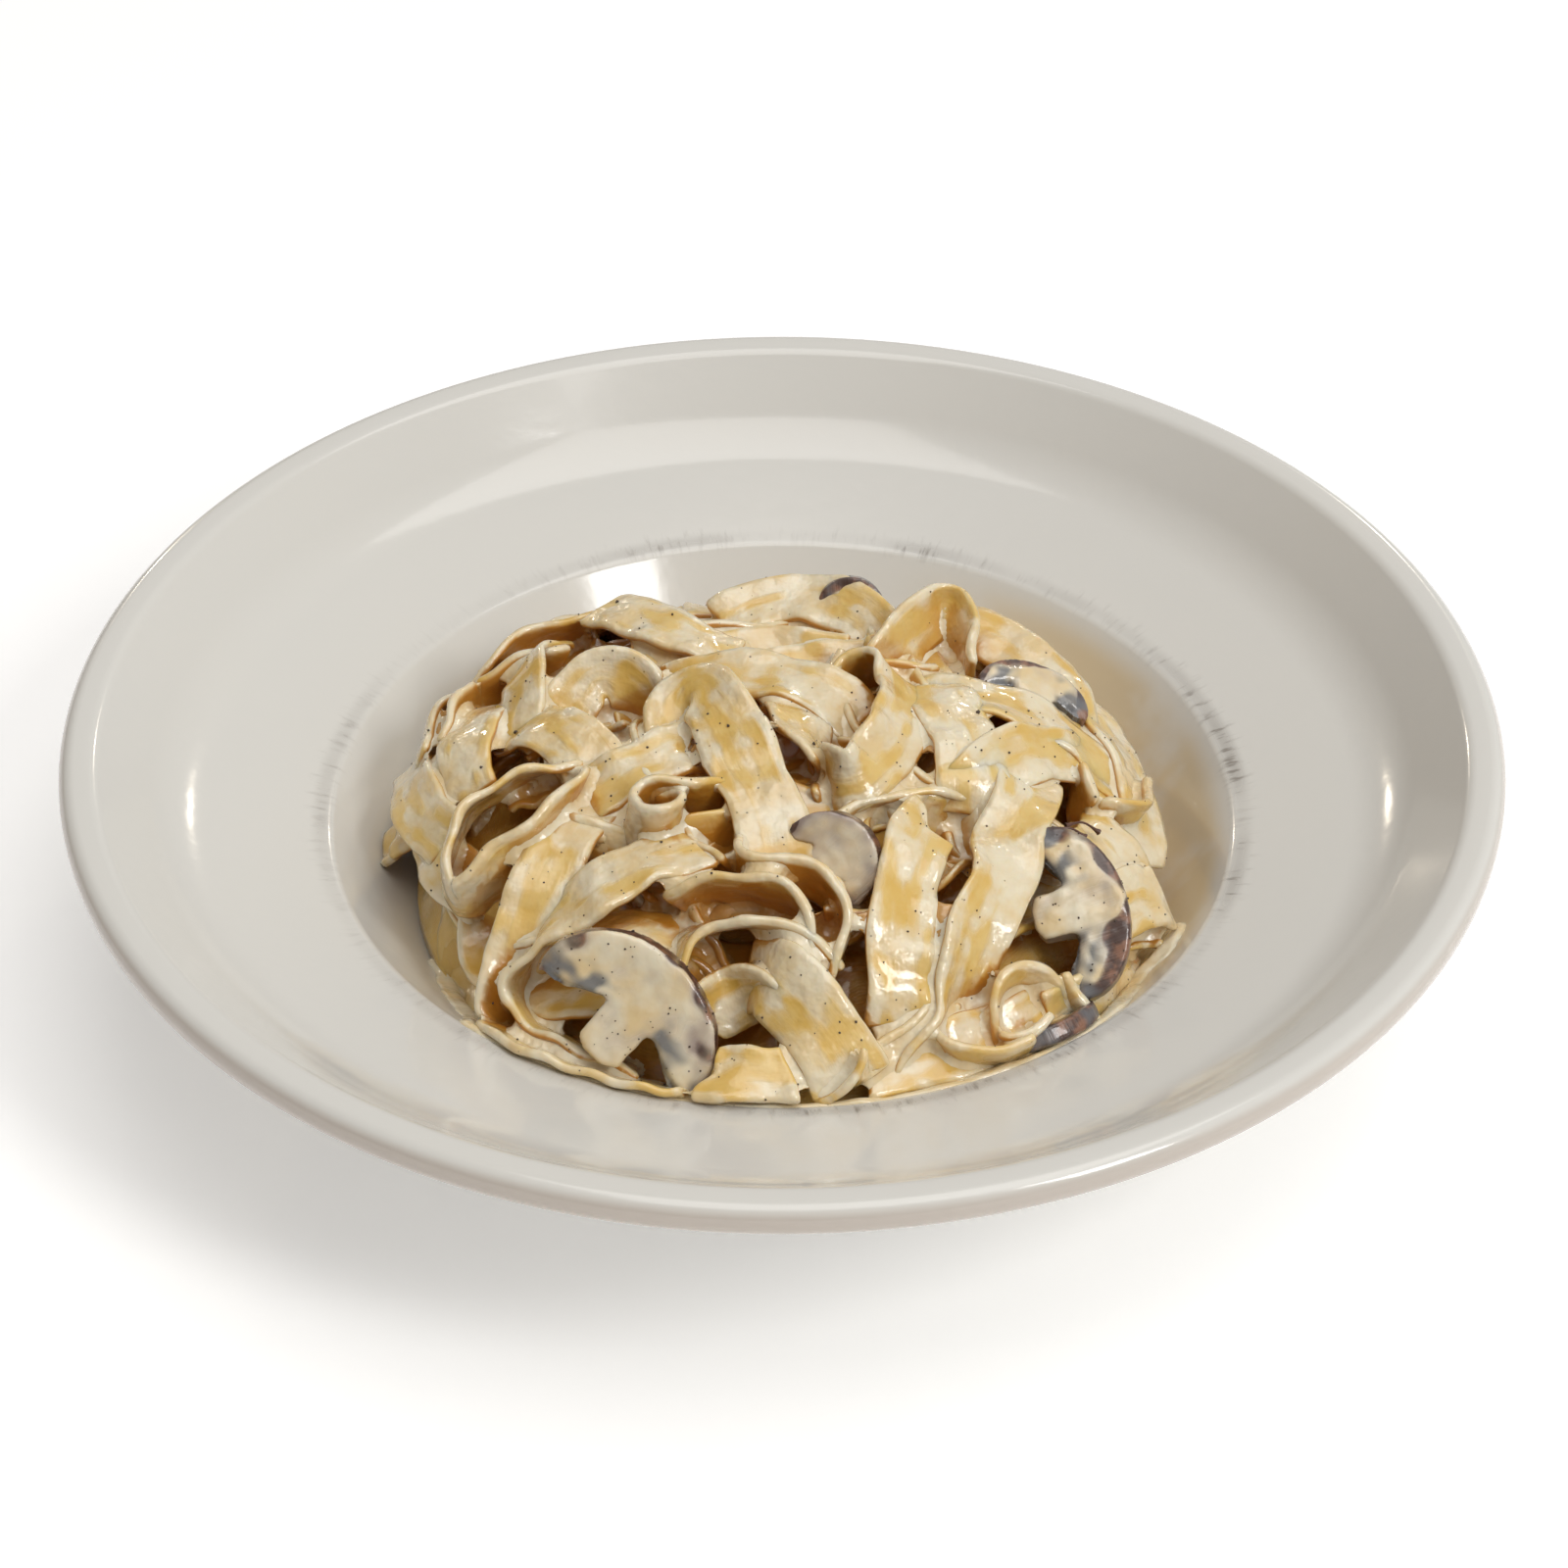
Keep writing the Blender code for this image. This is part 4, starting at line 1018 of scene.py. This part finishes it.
chance = random.Random(7)
layer_chance = random.Random(21)
front_strands = make_strands("fettuccine_front", FRONT_STRANDS, chance)
middle_strands = make_strands("fettuccine_middle", MIDDLE_STRANDS, chance)
outer_strands = make_strands("fettuccine_outer", OUTER_STRANDS, chance)
back_strands = make_strands("fettuccine_back", [back_row(*arc) for arc in BACK_ARCS], layer_chance)
rows = LOW_STRANDS + [filler(layer_chance, UPPER_DEPTH) for _ in range(UPPER_FILLERS)]
upper_fill = make_strands("fettuccine_upper_layer", rows, layer_chance, 0.03)
rows = [filler(layer_chance, LOWER_DEPTH) for _ in range(LOWER_FILLERS)]
rows += [back_row(*arc) for arc in LEFT_ARCS]
lower_fill = make_strands("fettuccine_lower_layer", rows, layer_chance, 0.08)
layers = [front_strands, middle_strands, outer_strands, back_strands, upper_fill, lower_fill]
for piece in layers:
    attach(piece, "root")
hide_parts("noodle_heap")

# The inside of the heap, of the same sauced dough, which shows only as the dark bottom of the gaps.
# It is a ball drawn to the form of the heap, a little smaller than the strands round it.
CORE_DEPTH = 9.0
CORE_SHARE = 0.94
CORE_SPARE = 0.1
CORE_SEGMENTS = 96
CORE_RINGS = 40
deselect()
bpy.ops.mesh.primitive_uv_sphere_add(segments=CORE_SEGMENTS, ring_count=CORE_RINGS, radius=1.0)
core = bpy.context.object
core.name = "fettuccine_inside"
for vertex in core.data.vertices:
    x, y, z = vertex.co
    reach = reach_at(math.atan2(y, x)) * CORE_SHARE
    share = min(1.0, math.hypot(x, y))
    u = CENTRE[0] + x * reach
    v = CENTRE[1] + y * reach
    low = seat(u, v)
    high = max(low + 1.0, crest(u, v) - CORE_DEPTH + 2.0 * noise.noise(Vector((u, v, 0.0)) * 0.22))
    vertex.co = Vector((u, v, high if z > 0 else low)) * MM
coat(core, CORE_SPARE)
core.data.materials.append(sauced)
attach(core, "root")

# The cream that clings between the strands: it fills the creases where they touch with smooth fillets.
# A swollen copy of the strands is made one skin and drawn in again, so that only filled creases stand out.
SWELL = 0.75
SINK = 0.42
VOXEL = 0.75
CLINGING_SHARE = 0.42
# Rays that tell how shut in a place is: how far they reach, how far off the surface they start, how wide
# they lean, and how much of them a place in a hollow has blocked
SHELTER_REACH = 16.0
SHELTER_CLEAR = 2.6
SHELTER_LEANING = 5
SHELTER_LEAN = 0.95
SHELTER_GAIN = 1.6


def sheltered(piece, skin):
    """How shut in each point is, from 0 in the open to 1 where the heap is close on all sides."""
    starts = points_of(piece)
    normals = normals_of(piece)
    starts = starts + normals * SHELTER_CLEAR * MM
    level = np.where(np.abs(normals[:, 2:]) < 0.9, (0.0, 0.0, 1.0), (1.0, 0.0, 0.0))
    beside = np.cross(normals, level)
    beside /= np.maximum(np.linalg.norm(beside, axis=1), 1e-6)[:, None]
    beyond = np.cross(normals, beside)
    total = np.zeros(len(starts))
    for k in range(SHELTER_LEANING + 1):
        a = k * 2 * math.pi / SHELTER_LEANING
        tilt = 0.0 if k == SHELTER_LEANING else SHELTER_LEAN
        ways = normals * math.cos(tilt) + (beside * math.cos(a) + beyond * math.sin(a)) * math.sin(tilt)
        for i, (start, way) in enumerate(zip(starts.tolist(), ways.tolist())):
            distance = skin.ray_cast(start, way, SHELTER_REACH * MM)[3]
            if distance is not None:
                total[i] += 1 - distance / (SHELTER_REACH * MM)
    return np.clip(total / (SHELTER_LEANING + 1) * SHELTER_GAIN, 0.0, 1.0)


swollen = []
for piece in layers + [core]:
    made = shown(piece.name + "_swollen", piece.data.copy())
    made.data.vertices.foreach_set("co", (points_of(made) + normals_of(made) * SWELL * MM).ravel())
    made.data.update()
    swollen.append(made)
clinging = join(swollen, "clinging_cream")
apply(clinging, "REMESH", mode="VOXEL", voxel_size=VOXEL * MM, use_smooth_shade=True)
apply(clinging, "SMOOTH", factor=0.5, iterations=6)
drawn_in = points_of(clinging) - normals_of(clinging) * (SWELL + SINK) * MM
clinging.data.vertices.foreach_set("co", settle(drawn_in).ravel())
clinging.data.update()
apply(clinging, "SMOOTH", factor=0.5, iterations=2)
apply(clinging, "DECIMATE", ratio=CLINGING_SHARE)
corners = [vertex.co for vertex in clinging.data.vertices]
heap_skin = BVHTree.FromPolygons(corners, [face.vertices for face in clinging.data.polygons])
# The shelter is kept as the deep attribute, by which the dough and cream are painted darker and more orange
# in the heap's hollows: painted shade
for piece in layers + [core, clinging]:
    keep(piece, "deep", sheltered(piece, heap_skin))
clinging.data.materials.clear()
clinging.data.materials.append(cream_material("clinging_cream", 1.0, 0.26))
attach(clinging, "root")

# The sauce that has crept up the wall of the well where the noodles touch it, in a bead with drips.
# It is a thin ring, drawn on the wall from the pool to just past the foot of the heap.
FILM_THICK = 0.5
FILM_BEAD = 1.3
FILM_BEAD_WIDE = 1.6
FILM_OVER = 0.06
FILM_UNDER = 0.25
DRIP_LEAST = 1.3
DRIP_SPAN = 1.6
FILM_START = 60.0
FILM_END = 83.2
FILM_STEPS = 18
FILM_ROWS = FILM_STEPS * 2 - 1
FILM_AROUND = AROUND * 2
TOUCH_START = 66.0
TOUCH_END = 82.5
TOUCH_HEIGHT = 2.6
# How far out the strands touch the wall, in each of the film's directions
touching = [TOUCH_START] * FILM_AROUND
for piece in layers[:-1]:
    for x, y, z in points_of(piece) / MM:
        r = math.hypot(x, y)
        if FILM_START < r < TOUCH_END and z < well(r) + TOUCH_HEIGHT:
            turn = int(math.atan2(y, x) / (2 * math.pi) * FILM_AROUND) % FILM_AROUND
            touching[turn] = max(touching[turn], r)
touching = [max(touching[(k + i) % FILM_AROUND] for i in range(-3, 4)) for k in range(FILM_AROUND)]
for _ in range(6):
    ring = touching[1:] + touching[:1]
    touching = [(touching[k - 1] + 2 * touching[k] + ring[k]) / 4 for k in range(FILM_AROUND)]
deselect()
bpy.ops.mesh.primitive_grid_add(x_subdivisions=FILM_AROUND, y_subdivisions=FILM_ROWS, size=1.0)
film = bpy.context.object
film.name = "sauce_film"
flat = points_of(film)
film_angle = (flat[:, 0] + 0.5) * 2 * math.pi
film_turn = np.rint((flat[:, 1] + 0.5) * FILM_ROWS)
film_top = film_turn >= FILM_STEPS
film_share = np.where(film_top, FILM_ROWS - film_turn, film_turn) / (FILM_STEPS - 1)
film_cell = np.rint((flat[:, 0] + 0.5) * FILM_AROUND).astype(int) % FILM_AROUND
drips = []
for k in range(FILM_AROUND):
    a = k * 2 * math.pi / FILM_AROUND
    drip = noise.noise(Vector((math.cos(a), math.sin(a), 0.0)) * 9.0)
    drip = drip + 0.5 * noise.noise(Vector((math.cos(a), math.sin(a), 0.4)) * 31.0)
    drips.append(DRIP_LEAST + DRIP_SPAN * max(0.0, 0.35 + drip))
film_touch = np.array(touching)[film_cell]
film_edge = np.minimum(film_touch + np.array(drips)[film_cell], FILM_END)
film_r = FILM_START + (film_edge - FILM_START) * film_share
film_high = FILM_THICK + FILM_BEAD * np.exp(-((film_r - film_touch + 0.6) / FILM_BEAD_WIDE) ** 2)
film_high = film_high * np.sqrt(np.clip(1.0 - film_share ** 10, 0.0, 1.0))
film_places = np.stack([film_r * np.cos(film_angle), film_r * np.sin(film_angle), film_r * 0], axis=1)
film_high = film_high * (0.75 + 0.5 * noise_at(film_places / 5.0))
film_z = well(film_r) + np.where(film_top, FILM_OVER + film_high, -FILM_UNDER)
placed = np.stack([film_r * np.cos(film_angle), film_r * np.sin(film_angle), film_z], axis=1)
film.data.vertices.foreach_set("co", (placed * MM).ravel())
film.data.update()
bpy.ops.object.mode_set(mode="EDIT")
bpy.ops.mesh.select_all(action="SELECT")
bpy.ops.mesh.remove_doubles(threshold=0.00001)
bpy.ops.mesh.select_all(action="DESELECT")
bpy.ops.mesh.select_non_manifold()
bpy.ops.mesh.bridge_edge_loops()
face_out()
smooth(film)
film.data.materials.append(cream_material("sauce_film", 0.6, 0.22))
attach(film, "root")

# Slices of brown mushroom, cut through cap and stem and fried: a thin brown skin round pale flesh,
# dark gills on either side of the stem, and cream that covers most of each slice.
SLICE_VOXEL = 0.45
CAP_STEPS = 24
# Of each slice: how far out its face is fried brown, as a share of its cap, how creamed it is
# and how dark its gills are
FRYING = {
    "mushroom_slice_front_left": (0.95, 0.58, 1.0),
    "mushroom_slice_right": (0.74, 0.45, 1.0),
    "mushroom_slice_middle": (0.97, 0.10, 0.2),
    "mushroom_slice_top_right": (0.84, 0.40, 1.0),
    "mushroom_slice_back": (0.80, 0.05, 1.0),
    "mushroom_slice_low_right": (0.50, 0.30, 1.0),
    "mushroom_slice_low_middle": (0.90, 0.35, 1.0),
}


def slice_outline(half, rise, stem, stub):
    """Outline of a cap cut through its middle, cap up, stub of stem down."""
    points = []
    for k in range(CAP_STEPS + 1):
        a = math.pi * k / CAP_STEPS
        points.append((half * math.cos(a), rise * math.sin(a)))
    lip = 0.16 * half
    points.append((-half + lip * 0.4, -lip))
    points.append((-half + lip * 1.6, -lip))
    points.append((-stem, rise * 0.12))
    points.append((-stem * 0.9, -stub * 0.8))
    points.append((-stem * 0.5, -stub))
    points.append((stem * 0.5, -stub))
    points.append((stem * 0.9, -stub * 0.8))
    points.append((stem, rise * 0.12))
    points.append((half - lip * 1.6, -lip))
    points.append((half - lip * 0.4, -lip))
    return points


def clamped(values, whole=1.0):
    return np.clip(values / whole, 0.0, 1.0)


def cut_slice(name, half, rise, stem, stub, thick, at, right, up):
    """A slice drawn flat, thickened, rounded, and set in its place in the heap."""
    line = slice_outline(half, rise, stem, stub)
    deselect()
    bpy.ops.mesh.primitive_circle_add(vertices=len(line), radius=1.0, fill_type="NGON")
    made = bpy.context.object
    made.name = "cut_" + name
    for vertex, (u, v) in zip(made.data.vertices, line):
        vertex.co = (u * MM, v * MM, -thick / 2 * MM)
    bpy.ops.object.mode_set(mode="EDIT")
    bpy.ops.mesh.select_all(action="SELECT")
    bpy.ops.mesh.extrude_region_move(TRANSFORM_OT_translate={"value": (0.0, 0.0, thick * MM)})
    face_out()
    apply(made, "REMESH", mode="VOXEL", voxel_size=SLICE_VOXEL * MM, use_smooth_shade=True)
    apply(made, "SMOOTH", factor=0.5, iterations=6)
    flat = points_of(made) / MM
    normals = normals_of(made)
    u, v, _ = flat.T
    seed = at[0] * 0.37
    dish = np.hypot(u / half, v / rise)
    uneven = noise_at(flat / 5.0 + seed) - 0.5
    on_cap = v > -0.2 * half
    facing = np.abs(normals[:, 2])
    halo = clamped(dish + uneven * 0.25 - 0.74, 0.24) * on_cap
    browned, creamed, gilled = FRYING[name]
    brown = clamped(dish + uneven * 0.3 - browned, 0.08)
    skin = np.maximum(clamped(1.3 - 2.0 * facing) * clamped(dish - 0.86, 0.08), brown) * on_cap
    notch = -0.16 * half + 1.6 + (rise * 0.12 + 2.8) * clamped(half - np.abs(u), half - stem)
    beside = clamped(np.abs(u) - stem + 0.6, 1.8)
    gill = clamped(notch - v, 1.8) * beside * (dish < 0.95) * gilled
    smudge = clamped(notch + 4.4 - v, 3.0) * beside * gilled
    smudge = smudge * clamped(noise_at(flat / 3.0 + seed) * 2.4 - 0.7)
    cream = creamed + 0.75 * noise_at(flat / 6.0 + seed + 3.0) + 0.35 * (noise_at(flat / 2.4 + seed) - 0.5)
    cream = clamped(cream - 0.50 * halo - 0.75 * gill - 0.5 * brown) * clamped(facing * 1.4 + 0.1)
    relief = cream * 0.45 - gill * 0.8 * (1 - cream) + 0.12 * (noise_at(flat / 2.0 + seed) - 0.5)
    shaped = flat + normals * relief[:, None]
    shaped[:, 2] += 0.9 * np.sin(u / half * 1.6 + at[1])
    masks = {"skin": skin, "halo": halo, "gill": gill, "smudge": smudge, "cream": cream, "from_stem": u * MM}
    for label, values in masks.items():
        keep(made, label, values)
    placed = shaped @ np.array(slice_axes(right, up)) + np.array(at)
    lift = max(0.0, max(seat(p[0], p[1]) - p[2] for p in placed[::7]))
    placed[:, 2] += lift
    made.data.vertices.foreach_set("co", settle(placed * MM).ravel())
    keep(made, "deep", np.zeros(len(placed)))
    made.data.update()
    smooth(made)
    return made


FLESH = (0.60, 0.51, 0.40)
FLESH_GREY = (0.44, 0.39, 0.35)
HALO = (0.30, 0.225, 0.20)
SKIN = (0.075, 0.038, 0.028)
SKIN_RED = (0.25, 0.12, 0.07)
GILL = (0.055, 0.036, 0.030)
GILL_BLUE = (0.15, 0.155, 0.165)
mushroom, tree, shader, place = new_material("sliced_mushroom")


def mask(label, rough=0.0):
    """One of the slices' masks, with a rough edge."""
    return plus(tree, attribute(tree, label), times(tree, rough_edge, rough))


away = {"X": times(tree, attribute(tree, "from_stem"), 1500.0)}
comb = add(tree, "ShaderNodeCombineXYZ", away).outputs[0]
sockets = {0: place, 1: (90.0, 90.0, 90.0), 2: comb}
gill_place = add(tree, "ShaderNodeVectorMath", sockets, operation="MULTIPLY_ADD").outputs[0]
gill_lines = noise_of(tree, gill_place, 1.0, 2.0)
rough_edge = times(tree, plus(tree, noise_of(tree, place, 320.0, 3.0), -0.5), 0.9)
flesh = mixed(tree, ramp(tree, noise_of(tree, place, 190.0, 4.0), 0.42, 0.72), FLESH, FLESH_GREY)
skin_tone = mixed(tree, ramp(tree, noise_of(tree, place, 330.0, 3.0), 0.45, 0.65), SKIN, SKIN_RED)
gills = mixed(tree, ramp(tree, gill_lines, 0.40, 0.66), GILL, GILL_BLUE)
colour = mixed(tree, ramp(tree, mask("halo", 1.0), 0.15, 1.0, 0.0, 0.85), flesh, HALO)
colour = mixed(tree, ramp(tree, mask("gill", 0.6), 0.25, 0.75), colour, gills)
colour = mixed(tree, ramp(tree, mask("skin", 0.5), 0.2, 0.7), colour, skin_tone)
cream = cream_of(tree, place, 1.0)
cover = ramp(tree, mask("cream", 0.4), 0.0, 1.0, 0.0, 0.93)
colour = mixed(tree, cover, colour, cream["Color"])
colour = mixed(tree, times(tree, attribute(tree, "smudge"), 0.9), colour, GILL_BLUE)
plug(tree, shader.inputs["Base Color"], colour)
plug(tree, shader.inputs["Roughness"], ramp(tree, cover, 0.1, 0.9, 0.34, 0.22))
set_inputs(shader, Subsurface_Weight=0.25, Subsurface_Radius=(1.0, 0.7, 0.5), Subsurface_Scale=0.0015)
set_inputs(shader, Coat_Weight=0.6, Coat_Roughness=0.08)
bumped(tree, shader, mixed(tree, cover, gill_lines, cream["Height"]), 0.5, 0.0005)

slices = []
for row in SLICES:
    name = row[0]
    made = cut_slice(*row)
    made.data.materials.clear()
    made.data.materials.append(mushroom)
    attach(made, "root")
    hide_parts(name)
    slices.append(made)

# Dark threads of fried gill and skin that came off the slice at the right, round and thicker at the ends.
# Each row of the table is x, y and lift over the heap, along one thread.
SHREDS = [
    [(46, -28, 4.2), (48.5, -27.2, 5.2), (51, -27.4, 5.0)],
    [(48, -26.6, 4.6), (50.5, -25.2, 5.4), (53.5, -25.0, 4.8)],
]
SHRED_RADIUS = 0.26
SHRED_STEPS = 10
SHRED = (0.045, 0.026, 0.018)
SHRED_RED = (0.16, 0.06, 0.035)
deselect()
drawn = bpy.data.curves.new("gill_shreds", "CURVE")
drawn.dimensions = "3D"
drawn.bevel_depth = SHRED_RADIUS * MM
drawn.bevel_resolution = 1
drawn.use_fill_caps = True
for row in SHREDS:
    line = [(Vector((x, y, crest(x, y))) + outward(x, y) * lift) * MM for x, y, lift in row]
    spline = drawn.splines.new("POLY")
    spline.points.add(SHRED_STEPS)
    for k in range(SHRED_STEPS + 1):
        spline.points[k].co = (*curve(line, (len(line) - 1) * k / SHRED_STEPS), 1.0)
        spline.points[k].radius = 0.8 + 1.6 * (2 * k / SHRED_STEPS - 1) ** 4
shreds = shown("gill_shreds", drawn)
shreds.select_set(True)
bpy.context.view_layer.objects.active = shreds
bpy.ops.object.convert(target="MESH")
smooth(shreds)
fried, tree, shader, place = new_material("fried_gill")
plug(tree, shader.inputs["Base Color"], mixed(tree, noise_of(tree, place, 400.0, 2.0), SHRED, SHRED_RED))
set_inputs(shader, Roughness=0.3)
shreds.data.materials.append(fried)
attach(shreds, "root")

# Coarsely ground black pepper, which stuck where it fell on the wet cream.
# Each chip is a small ball with its corners moved at random, half sunk in the cream.
PEPPER_COUNT = 560
# Natural logarithm of a grain's usual size and its spread, how much of the size a chip's corners keep,
# and how far out of the cream it stands
PEPPER_SIZE = (-1.55, 0.35)
CHIP = (0.6, 1.2)
CHIP_SHARE = 0.75
CHIP_PROUD = 0.25
PEPPER_FACING = 0.15
HUSK = (0.028, 0.021, 0.016)
HUSK_PALE = (0.11, 0.075, 0.05)
SOWN = [
    (front_strands, 0.34), (middle_strands, 0.30), (outer_strands, 0.2), (slices[0], 0.1), (slices[1], 0.06),
]
pepper_chance = random.Random(5)
grains = []
for piece, portion in SOWN:
    places = points_of(piece)
    normals = normals_of(piece)
    open_faces = np.nonzero(normals[:, 2] > PEPPER_FACING)[0]
    for _ in range(round(PEPPER_COUNT * portion)):
        index = open_faces[pepper_chance.randrange(len(open_faces))]
        size = pepper_chance.lognormvariate(*PEPPER_SIZE)
        grains.append((Vector(places[index]), Vector(normals[index]), size))
deselect()
bpy.ops.mesh.primitive_ico_sphere_add(subdivisions=1, radius=1.0)
grain = bpy.context.object
corners = [v.co.copy() for v in grain.data.vertices]
faces = [tuple(p.vertices) for p in grain.data.polygons]
vertices = []
all_faces = []
for place, normal, size in grains:
    base = len(vertices)
    turn = Matrix.Rotation(pepper_chance.uniform(0, 6.28), 3, normal)
    for corner in corners:
        chip = Vector([c * pepper_chance.uniform(*CHIP) for c in corner]) * size * CHIP_SHARE * MM
        vertices.append(place + normal * size * CHIP_PROUD * MM + turn @ chip)
    all_faces += [tuple(base + i for i in face) for face in faces]
mesh = bpy.data.meshes.new("ground_pepper")
mesh.from_pydata(vertices, [], all_faces)
bpy.data.objects.remove(grain, do_unlink=True)
pepper = shown("ground_pepper", mesh)
black, tree, shader, place = new_material("ground_pepper")
plug(tree, shader.inputs["Base Color"], mixed(tree, noise_of(tree, place, 900.0, 2.0), HUSK, HUSK_PALE))
set_inputs(shader, Roughness=0.6)
pepper.data.materials.append(black)
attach(pepper, "root")
